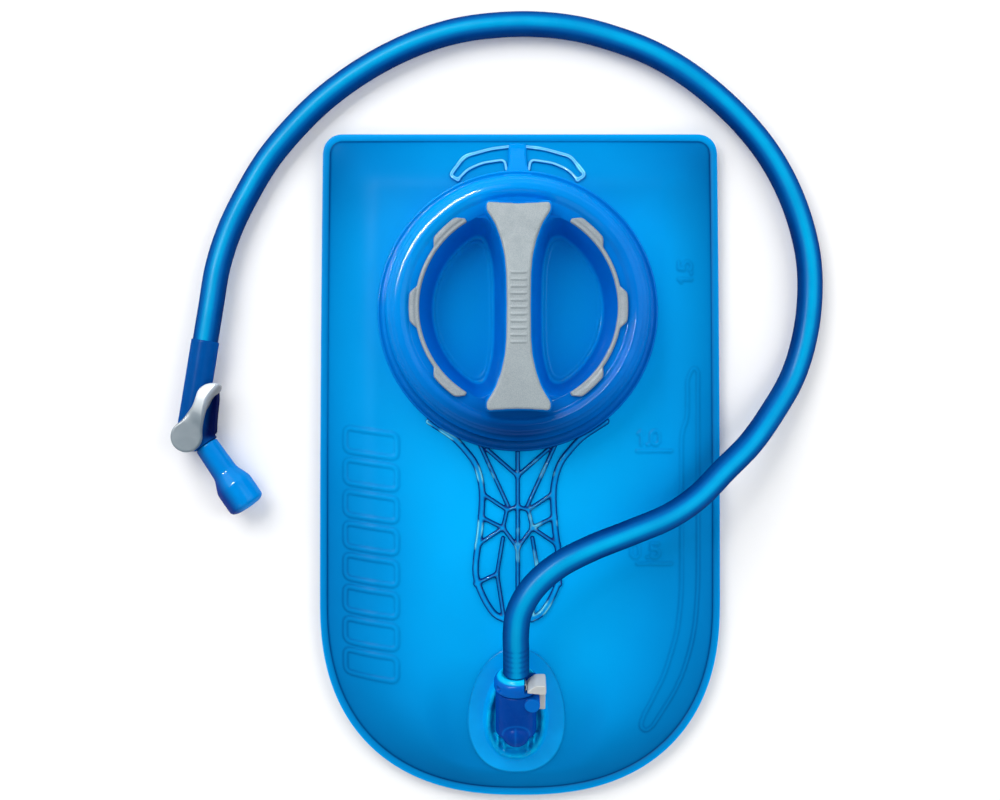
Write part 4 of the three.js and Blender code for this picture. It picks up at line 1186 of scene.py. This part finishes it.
def cap_wells():
    """The floor inside the cap's rim: two finger wells, with a low bead round each one's floor."""
    handle = outline_field(handle_plan(0.8))

    def disc(x, y):
        return np.hypot(x, y) - WELL_RADIUS - 0.1

    def top(x, y, f):
        inward = blended(WELL_RADIUS - np.hypot(x, y), handle(x, y), 6.5)
        share = np.clip(inward / WELL_WALL, 0, 1)
        depth = (SEAT_Z - WELL_FLOOR) * (1 - (1 - share) ** 1.4)
        bead = 0.3 * bell(inward, WELL_WALL + 0.9, 0.5)
        return np.where(inward > 0, SEAT_Z - 0.05 - depth + bead, SEAT_Z - 0.05)

    def low(x, y, f):
        return np.minimum(top(x, y, f) - 2.0, 42)

    return relief(disc, ((-46, -46), (46, 46)), 0.62, top, low)[0]


def cap_rim():
    """The turned part of the cap: its stepped shoulder, its outer wall and its hollow underside."""
    profile = [
        (WELL_RADIUS - 0.3, SEAT_Z - 2.2), (WELL_RADIUS, SEAT_Z), (50.0, SEAT_Z), (51.4, 47.0), (53.6, 48.0),
        (56.2, 47.5), (56.7, 46.9), (58.1, 46.3), (58.6, 45.0), (59.5, 44.0), (59.9, 42.0), (60.5, 40.5),
        (CAP_RADIUS, 34), (CAP_RADIUS, 25.4), (60.2, 24.5), (59, 24.5), (58.6, 36), (54.2, 41.0),
        (46.4, 41.0), (45.6, 43),
    ]
    return turned(softened(profile, 0.55, 5, closed=True), 200, closed=True)


def make_cap(materials):
    well, ring = cap_wells(), cap_rim()
    # Painted light that brightens the wells' floors, which would lie in shade.
    floor = smoothstep(-well[0][:, 2], -WELL_FLOOR - 2.5, -WELL_FLOOR - 0.4)
    tone = np.concatenate([floor, np.zeros(len(ring[0]))])
    shell = joined(well, ring)
    piece("cap_body", on_cap(shell), materials["well_blue"], "cap", ["cap_shell"],
          {"tone": tone, **cap_painted_light(shell[0])}, sharp=55)


def make_bridge(materials):
    def top(x, y, f):
        return HANDLE_TOP - PAD_STANDS - 0.9 * (1 - round_over(f, 0.9))

    field = outline_field(handle_plan(0.75))
    data, _ = relief(field, ((-17, -49), (17, 49)), 0.5, top, level(SEAT_Z - 1.2))
    # Painted highlight and painted shade, as on the cap.
    piece("cap_bridge_rim", on_cap(data), materials["hard_blue"], "cap", ["cap_bridge"],
          cap_painted_light(data[0]), sharp=50)


# A row of plain bars across the middle of the handle's pad.
PAD_BARS = [([(-3.1, y), (3.1, y)], 0.42) for y in np.arange(-16, 18, 3.1)]


def make_handle_pad(materials):
    def top(x, y, f):
        crown = 0.0007 * y ** 2 - 0.006 * (x / 5) ** 2
        raised = 0.35 * (1 - smoothstep(distance_to_runs(x, y, PAD_BARS), -0.15, 0.35))
        return HANDLE_TOP - 0.4 - 1.1 * (1 - round_over(f, 1.1)) - crown + raised

    field = outline_field(handle_plan(0))
    data, _ = relief(field, ((-15, -47), (15, 47)), 0.36, top, level(HANDLE_TOP - PAD_STANDS - 1.2))
    piece("handle_pad_grip", on_cap(data), materials["grip_grey"], "cap", ["handle_pad"],
          sharp=50)


GRIP_ROUNDING = 0.85
GRIP_INNER = 44.9
GRIP_OUTER = 46.8
SCALLOP = 2.7
SCALLOPS_AT = (-47, 0, 47)


def grip_core(side):
    """The line round which a grip's rounded section is drawn: an arc with three scallops outside."""
    half = math.radians(59) - GRIP_ROUNDING / 45
    angles = np.linspace(-half, half, 260)
    bump = sum(1 - smoothstep(np.abs(angles - math.radians(c)), math.radians(6.5), math.radians(12))
               for c in SCALLOPS_AT)
    outer = GRIP_OUTER + SCALLOP * bump - GRIP_ROUNDING
    inner = np.full(len(angles), GRIP_INNER + GRIP_ROUNDING)
    radii = np.concatenate([outer, inner])
    turn = np.concatenate([angles, angles[::-1]])
    return np.column_stack([side * radii * np.cos(turn), radii * np.sin(turn)])


def make_grips(materials):
    def top(x, y, f):
        outward = smoothstep(np.hypot(x, y), 46.4, 47.6)
        return SEAT_Z + 1.5 + 0.4 * outward - 0.6 * (1 - round_over(f, 0.7))

    for side, name, left, right in ((-1, "grip_insert_left", -51, -22), (1, "grip_insert_right", 22, 51)):
        core = outline_field(grip_core(side))

        def field(x, y):
            return core(x, y) - GRIP_ROUNDING

        data, _ = relief(field, ((left, -42), (right, 42)), 0.34, top, level(SEAT_Z - 0.3))
        piece(name + "_pad", on_cap(data), materials["side_grip"], "cap", [name], sharp=50)


# ------------------------------------------------------------------ outlet, connector and button

def egg(half_wide, half_long, taper, middle_x, middle_y):
    """Signed field of an egg-shaped plan, wider at the bottom."""
    angles = np.linspace(0, 2 * math.pi, 160, endpoint=False)
    wide = np.sign(np.cos(angles)) * np.abs(np.cos(angles)) ** 0.85
    return outline_field(np.column_stack([middle_x + half_wide * wide * (1 - taper * np.sin(angles)),
                                          middle_y + half_long * np.sin(angles)]))


def make_outlet_flange(materials):
    """A thin plate with a raised wall round the port, and low ribs in the hollow inside the wall."""
    middle_x = PORT[0] + 0.4
    middle_y = PORT[1] - 2.4
    plate = egg(23, 30, 0.12, middle_x, middle_y)
    housing = egg(14, 20.5, 0.1, PORT[0], middle_y - 1.6)

    def top(x, y, f):
        inner = housing(x, y)
        hollow = smoothstep(-inner, 1.8, 4.2)
        height = 0.5 * round_over(f, 0.8) + 5.2 * smoothstep(-inner, -1.4, 1.0) - 3.4 * hollow
        for rib_x in (-8.4, -5.4, 5.4, 8.4):
            away = distance_to_runs(x - PORT[0], y - PORT[1], [([(rib_x, -14), (rib_x, -22.5)], 0.35)])
            height += 2.4 * (1 - smoothstep(away, 0, 0.6)) * hollow
        crescent = np.hypot(x - PORT[0], y - PORT[1] + 9.4)
        height += 2.6 * bell(crescent, 9.2, 1.5) * (y < PORT[1] - 12) * hollow
        return outlet_seat(y) + height

    bounds = ((middle_x - 29, middle_y - 33), (middle_x + 29, middle_y + 33))
    data, f = relief(plate, bounds, 0.42, top, lambda x, y, f: outlet_seat(y) - 0.05)
    inner = housing(data[0][:, 0], data[0][:, 1])
    # Painted shade along the plate's edge and inside the housing, and a painted highlight over the housing.
    side = np.clip(0.45 * bell(f, -0.3, 0.35) + 0.16 * bell(inner, -2.8, 0.9), 0, 1)
    piece("outlet_flange_clear", data, materials["flange"], "bag", ["outlet_flange"],
          {"side": side, "glow": smoothstep(-inner, -1.2, 1.5)}, sharp=70)


def at_port(data):
    """Places turned shapes, whose axis is Z, along the port's axis."""
    return moved(data, np.column_stack([PORT_SIDE, -PORT_UP, PORT_AXIS]), PORT)


def by_port(data):
    """Places shapes given as millimetres across the port, along it and up out of it."""
    return moved(data, np.column_stack([PORT_SIDE, PORT_AXIS, PORT_UP]), PORT)


def toned(mesh, tone, name="tone"):
    """Writes a point attribute on a finished mesh, from each point's place in millimetres."""
    places = np.empty(len(mesh.vertices) * 3, np.float32)
    mesh.vertices.foreach_get("co", places)
    values = tone(places.reshape(-1, 3) / MM)
    mesh.attributes.new(name, "FLOAT", "POINT").data.foreach_set("value", values.astype(np.float32))
    return mesh


# The port, in millimetres across it, along it from its seat, and up out of it.
PORT_RADIUS = 9.45
PORT_MOUTH = 12.3
SOCKET_RADIUS = 6.3
DOME_ALONG = -8.2
LUG_ACROSS, LUG_ALONG = 7.3, 8.8


def make_port(materials):
    """The socket's barrel with its rounded back end, a dome on top, a lug beside the latch leg and a
    stem down through the film."""
    barrel = [(0, -10), (PORT_RADIUS - 0.2, -10), (PORT_RADIUS, -8.6), (PORT_RADIUS, PORT_MOUTH),
              (0, PORT_MOUTH)]
    adds = [
        at_port(turned(softened(barrel, 0.5, 4), 96)),
        at_port(ball(6.5, (0, 0, -10), 64)),
        by_port(ball(6.6, (0, DOME_ALONG, 4.6), 64)),
        rod(6, (PORT[0], OUTLET_STEM_Y, 14), (PORT[0], OUTLET_STEM_Y, PORT[2] - 3)),
        by_port(rod(3.5, (LUG_ACROSS, LUG_ALONG, 2), (LUG_ACROSS, LUG_ALONG, 9.2))),
    ]
    cuts = [
        at_port(turned([(0, -2.5), (SOCKET_RADIUS, -2.5), (SOCKET_RADIUS, 14), (0, 14)], 64)),
        at_port(turned([(0, -12), (5.2, -12), (5.2, -4.1), (4, -4.1), (4, 0), (0, 0)], 64)),
    ]
    mesh = moulded("outlet_port_body", adds, cuts, voxel=0.3, smooth=3)

    def tone(places):
        """Painted highlights: lighter on the lug's top, and along a ring and a streak on the dome."""
        rel = places - PORT
        across, along, up = rel[:, 0], rel @ PORT_AXIS, rel @ PORT_UP
        lug = 1 - smoothstep(np.hypot(across - LUG_ACROSS, along - LUG_ALONG), 3.2, 3.8)
        dome = np.hypot(across, along - DOME_ALONG)
        ring = 0.5 * bell(dome, 6.3, 0.45) * (along > DOME_ALONG)
        streak = 0.4 * bell(across, -0.3, 0.5) * (dome < 5.5)
        return np.clip(lug * smoothstep(up, 4, 7) + (ring + streak) * smoothstep(up, 2, 5), 0, 1)

    piece("outlet_port_body", toned(mesh, tone), materials["port"], "bag", ["outlet_port"])


# The connector, in the port's millimetres: its spigot, the hub outside the port, and the hose barb.
SPIGOT_RADIUS = 5.9
HUB_RADIUS = 10.15
BARB_RADIUS, BARB_EDGE, BARB_END = 3.1, 3.45, 32


def make_connector(materials):
    """The spigot, a hub with a pocket for the button, and the barb inside the hose, bored through."""
    profile = [(0, -2.2), (SPIGOT_RADIUS, -2.2), (SPIGOT_RADIUS, 12.8), (9.6, 12.8), (HUB_RADIUS, 13.6),
               (HUB_RADIUS, 17.2), (9.6, 18.6), (8.2, 19.4), (7.6, 20.5), (6.4, 20.6), (6.2, 19.9), (0, 19.9)]
    barb = [(0, 19), (BARB_RADIUS, 19), (BARB_RADIUS, 22), (BARB_EDGE, 22.6), (BARB_RADIUS, 25.2),
            (BARB_EDGE, 27.6), (BARB_RADIUS, 30), (2.9, BARB_END), (0, BARB_END)]
    adds = [at_port(turned(softened(profile, 0.6, 4), 96)), at_port(turned(barb, 48))]
    groove = [(4.9, ORING_ALONG - 1), (7, ORING_ALONG - 1), (7, ORING_ALONG + 1), (4.9, ORING_ALONG + 1)]
    bore = [(0, -3), (3.6, -3), (3.6, 6), (2.4, 7), (2.4, BARB_END + 1), (0, BARB_END + 1)]
    cuts = [
        at_port(turned(bore, 48)),
        at_port(turned(groove, 64, closed=True)),
        by_port(brick((12, 6, 16), (9.6, 18, 5))),
        by_port(brick((6, 12.2, 9), (12.2, 9.1, -0.6))),
        by_port(rod(1.3, (-8.2, 15.6, 4.6), (-8.2, 15.6, 12))),
    ]
    mesh = moulded("hose_connector_body", adds, cuts, voxel=0.3, smooth=3)

    def rim_tone(places):
        """A painted highlight, lighter on the rim that faces the hose."""
        rel = places - PORT
        along = rel @ PORT_AXIS
        out = np.linalg.norm(rel - along[:, None] * PORT_AXIS, axis=1)
        return smoothstep(along, 18.4, 19.5) * (1 - smoothstep(out, 8.4, 9.4)) * smoothstep(out, 5, 6)

    return piece("hose_connector_body", toned(mesh, rim_tone), materials["connector"], "hose",
                 ["hose_connector"])


def make_button(materials):
    """The button's head and the latch leg that reaches back beside the port."""
    head = softened([(4.9, 16.2), (13.4, 15.3), (13.4, 20), (8.6, 20), (5.0, 17)], 0.9, 4, closed=True)
    adds = [by_port(prism(head, -0.4, 10.6)), by_port(brick((2.8, 13.8, 5), (12, 9.3, -0.8)))]
    mesh = moulded("release_button_cap", adds, voxel=0.28, smooth=5)
    return piece("release_button_cap", mesh, materials["button"], "button",
                 ["release_button"])


def bowed(ends_x, crest_x, ends_y, steps=16):
    """A quadratic bow in plan from one end of the leaf to the other."""
    t = np.linspace(0, 1, steps)
    reach = 2 * t * (1 - t)
    middle_y = sum(ends_y) / 2
    x = (1 - reach) * ends_x + reach * crest_x
    y = (1 - t) ** 2 * ends_y[0] + reach * middle_y + t ** 2 * ends_y[1]
    return list(zip(x, y))


def make_button_spring(materials):
    """A thin bowed leaf against the pocket's wall, drawn at rest; the real leaf flattens as the button is pressed.
    """
    wall_x = 3.75
    near_side = bowed(wall_x, 5.15, (15.2, 18.8))
    far_side = bowed(wall_x + 0.3, 5.6, (15.05, 18.95))
    outline = near_side + far_side[::-1]
    leaf = piece("button_leaf_spring", by_port(prism(outline, 2, 7)), materials["spring_steel"], "hose",
                 ["button_spring"], sharp=35)
    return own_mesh(leaf)


# ------------------------------------------------------------------ drink tube

def centripetal(points, per_span=14):
    """A smooth curve through points, as a centripetal Catmull-Rom spline."""
    points = np.asarray(points, float)
    padded = np.vstack([2 * points[0] - points[1], points, 2 * points[-1] - points[-2]])
    curve = []
    for i in range(1, len(padded) - 2):
        p0, p1, p2, p3 = padded[i - 1:i + 3]
        t1 = np.linalg.norm(p1 - p0) ** 0.5
        t2 = t1 + np.linalg.norm(p2 - p1) ** 0.5
        t3 = t2 + np.linalg.norm(p3 - p2) ** 0.5
        for t in np.linspace(t1, t2, per_span, endpoint=False):
            a1 = p0 * (t1 - t) / t1 + p1 * t / t1
            a2 = p1 * (t2 - t) / (t2 - t1) + p2 * (t - t1) / (t2 - t1)
            a3 = p2 * (t3 - t) / (t3 - t2) + p3 * (t - t2) / (t3 - t2)
            b1 = a1 * (t2 - t) / t2 + a2 * t / t2
            b2 = a2 * (t3 - t) / (t3 - t1) + a3 * (t - t1) / (t3 - t1)
            curve.append(b1 * (t2 - t) / (t2 - t1) + b2 * (t - t1) / (t2 - t1))
    return np.vstack([curve, points[-1:]])


def evenly(curve, spacing):
    """Evenly spaced points along a curve, and its length."""
    lengths = lengths_along(curve)
    at = np.linspace(0, lengths[-1], int(lengths[-1] / spacing) + 1)
    return np.column_stack([np.interp(at, lengths, curve[:, k]) for k in range(3)]), lengths[-1]


def band(first, second, segments):
    """Faces between two rings of points, given as the number of each ring's first point."""
    faces = []
    for k in range(segments):
        n = (k + 1) % segments
        faces.append((first + k, first + n, second + n, second + k))
    return faces


def tube_data(path, radii, segments=40):
    """A hollow tube along a path, with square ends. radii are the outer and the inner radius. Returns
    its shape, and how far to the side of the tube each point is, from 0 to 1."""
    along = np.gradient(path, axis=0)
    along /= np.linalg.norm(along, axis=1)[:, None]
    points, across = [], []
    for radius in radii:
        for centre, axis in zip(path, along):
            side = unit(np.cross(axis, (0, 0, 1)))
            up = np.cross(side, axis)
            for k in range(segments):
                angle = 2 * math.pi * k / segments
                points.append(centre + radius * (math.cos(angle) * side + math.sin(angle) * up))
                across.append(abs(math.cos(angle)))
    rows = len(path)
    faces = []
    for wall in range(2):
        for i in range(rows - 1):
            start = (wall * rows + i) * segments
            faces += band(start, start + segments, segments)
    for row in (0, rows - 1):
        faces += band(row * segments, (rows + row) * segments, segments)
    return (np.array(points), faces), across


def make_tube(materials):
    """The tube, with close rows of points over the barb, where its dark rings are."""
    curve = centripetal(TUBE_ROUTE)
    path, length = evenly(curve, 2.5)
    fine, _ = evenly(curve, 0.5)
    rows = np.vstack([fine[:32], path[7:]])
    data, across = tube_data(rows, (TUBE_RADIUS, TUBE_BORE))
    rings = sum(bell(lengths_along(rows), at, 0.6) for at in BARB_RINGS)
    # The side darkening in across is painted shade; the rings add the barb's dark rings seen through the wall.
    across = np.reshape(across, (2, len(rows), -1)) + 0.13 * rings[None, :, None]
    tube = piece("drink_tube_hose", data, materials["tube"], "hose", ["drink_tube"],
                 {"across": np.clip(across, 0, 1).ravel()}, sharp=50)
    [tuple(p * MM) for p in path]


# ------------------------------------------------------------------ bite valve

SLEEVE_AXIS = unit(CORE[:2] - TUBE_END)


def on_sleeve(distance):
    """A point on the sleeve's axis, from the tube's end towards the core."""
    return np.array([*(TUBE_END + distance * SLEEVE_AXIS), VALVE_Z])


def on_mouth(distance):
    """A point on the mouthpiece's axis, from its inner end outward."""
    return np.array([*(MOUTH_START + distance * MOUTH_AXIS), VALVE_Z])


def at_core(z):
    """A point on the core's axis."""
    return np.array([CORE[0], CORE[1], z])


SLEEVE_RADIUS = 6.6
MOUTH_ARM_RADIUS = 6.2
HOUSING_RADIUS = 7.4
HOUSING_LOW, HOUSING_HIGH = 2.2, 15.7
CORE_BORE = 5.15
WAY_RADIUS = 2


def make_valve_elbow(materials):
    """The sleeve, the knee with the core's seat, and the guard that fills the inside of the bend."""
    bend = np.array([*BEND, VALVE_Z])
    guard = softened([(2, 25), (9.6, 25.4), (13.2, 22.4), (13.5, 18), (12.4, 7.2), (12.2, 1), (6, 0)], 1.2, 4,
                     closed=True)
    adds = [
        rod(SLEEVE_RADIUS, on_sleeve(-1.2), bend, 64),
        ball(SLEEVE_RADIUS - 0.02, bend, 48),
        rod(MOUTH_ARM_RADIUS, bend, on_mouth(-0.3), 64),
        rod(HOUSING_RADIUS, at_core(HOUSING_LOW), at_core(HOUSING_HIGH), 64),
        rod(3.2, on_sleeve(-10.5), bend, 40),
        rod(4.3, bend, on_mouth(9), 40),
        moved(prism(guard, 4.8, 12), shift=at_core(0)),
    ]
    cuts = [
        rod(WAY_RADIUS, on_sleeve(-12), on_sleeve(30), 32),
        rod(WAY_RADIUS, on_mouth(-3), on_mouth(11), 32),
        rod(CORE_BORE, at_core(3.4), at_core(HOUSING_HIGH + 1.3), 64),
    ]
    mesh = moulded("valve_elbow_body", adds, cuts, voxel=0.34, smooth=6)

    # Painted shade over the guard, which sits in the shadow of the lever's arm.
    def guard_shade(places):
        x, y = places[:, 0] - CORE[0], places[:, 1] - CORE[1]
        return smoothstep(x - 0.16 * y, 4.5, 9.5) * smoothstep(y, -3, 1) * (1 - smoothstep(y, 22, 26))

    return piece("valve_elbow_body", toned(mesh, guard_shade, "deep"), materials["valve_blue"], "hose",
                 ["valve_elbow"])


def make_mouthpiece(materials):
    """A soft hollow sleeve that flares out to a closed round tip with a slit across it."""
    tip = MOUTH_LENGTH
    outer = [(4.7, 0), (5.7, 0), (6.1, 16.2), (8.75, 22.6), (8.95, 24.5), (8.9, 33), (8.5, tip - 1.6),
             (6, tip - 0.4), (0, tip), (0, tip - 1.8), (6.8, tip - 2.6), (7.4, 24), (6.9, 22.6), (4.9, 17),
             (4.7, 9)]
    profile = softened(outer[:9], 1.5, 6) + [np.array(p) for p in outer[9:]]
    axis, side, up = [*MOUTH_AXIS, 0], [*MOUTH_SIDE, 0], [0, 0, 1]
    body = moved(turned(profile, 96, closed=True), np.column_stack([side, up, axis]), on_mouth(0))
    slit = moved(brick((5, 9, 0.6), (tip, 0, 0)), np.column_stack([axis, side, up]), on_mouth(0))
    mesh = moulded("bite_mouthpiece", [body], [slit], voxel=0.28, smooth=2)

    # Painted shade down the mouthpiece's lower left side.
    def shade(places):
        return smoothstep(-(places[:, :2] - MOUTH_START) @ MOUTH_SIDE, -0.5, 7)

    return piece("bite_mouthpiece", toned(mesh, shade, "deep"), materials["bite"], "hose",
                 ["mouthpiece"])


LEVER_Z = 18.0

# The ridge line along the lever's arm, from the disc to its tip.
RIDGE = [(4.5, -4), (6.4, 3), (7.0, 8), (7.6, 13), (9.0, 18.5), (12.2, 22.8), (15.5, 26)]


def make_lever(materials):
    """A flat disc, and an arm that climbs to a ridge along its right side and falls away beyond it."""
    arm = softened([(-6.9, 1), (-2.2, 7.6), (3.2, 14.8), (5.6, 22.4), (9.0, 24.9), (13.4, 25.5), (16.0, 24.4),
                    (15.6, 21.4), (12.0, 18.8), (9.6, 14), (8.0, 8), (7.2, 2), (0, -4)], 2.0, 5, closed=True)
    arm_field = outline_field(arm)
    ridge = softened(RIDGE, 1.5, 4)

    def field(x, y):
        return blended(np.hypot(x, y) - HOUSING_RADIUS, arm_field(x, y), 1.2)

    def past_ridge(x, y):
        """How far a point is to the right of the ridge, negative on its left."""
        return x - np.interp(y, [p[1] for p in ridge], [p[0] for p in ridge])

    def top(x, y, f):
        climb = smoothstep(np.hypot(x, y), 6.5, 13)
        past = past_ridge(x, y)
        left = LEVER_Z + climb * (1.7 + 0.22 * np.clip(past, -8, 0))
        fall = climb * 1.35 * np.clip(past - 0.4, 0, 4) ** 1.1
        return left + 0.5 * (1 - climb) - 0.9 * (1 - round_over(f, 0.9)) - fall

    def low(x, y, f):
        skirt = smoothstep(np.hypot(x, y), 15, 18) * smoothstep(past_ridge(x, y), -0.5, 1.2)
        return np.minimum(LEVER_Z - 2 - 3.2 * skirt, top(x, y, f) - 0.8)

    data, f = relief(field, ((-9, -9), (18, 28)), 0.26, top, low)
    x, y = data[0][:, 0], data[0][:, 1]
    # Painted shade past the ridge, where the arm falls away from the light, and a painted highlight rising up the
    # arm.
    shade = smoothstep(past_ridge(x, y), 0.2, 2.6) * smoothstep(np.hypot(x, y), 8, 12)
    glow = smoothstep(np.hypot(x, y), 7, 22) * (0.55 + 0.45 * smoothstep(y, 12, 24))
    return piece("shutoff_lever_arm", moved(data, shift=at_core(0)), materials["lever"], "shutoff",
                 ["shutoff_lever"], {"deep": 0.75 * shade, "glow": glow}, sharp=60)


# ------------------------------------------------------------------ all of it


def dress_kept_nodes(materials):
    """The small inner pieces keep their solids and get their own materials."""
    slots = {part["node"]: part["material_slot"] for part in frame["record"]["subparts"]}
    for name, node in frame["nodes"].items():
        if node.hide_render:
            continue
        node.data.materials.clear()
        node.data.materials.append(materials[slots[name]])
        node.data.shade_smooth()
        node.data.set_sharp_from_angle(angle=math.radians(35))


def main():
    make_camera()
    make_studio()
    materials = make_materials()
    connector = make_connector(materials)
    elbow = make_valve_elbow(materials)
    mouthpiece = make_mouthpiece(materials)
    lever = make_lever(materials)
    button = make_button(materials)
    leaf = make_button_spring(materials)
    make_tube(materials)
    make_films(materials)
    make_tongue(materials)
    make_arches(materials)
    make_collar(materials)
    make_cap(materials)
    make_bridge(materials)
    make_handle_pad(materials)
    make_grips(materials)
    make_outlet_flange(materials)
    make_port(materials)
    dress_kept_nodes(materials)


main()
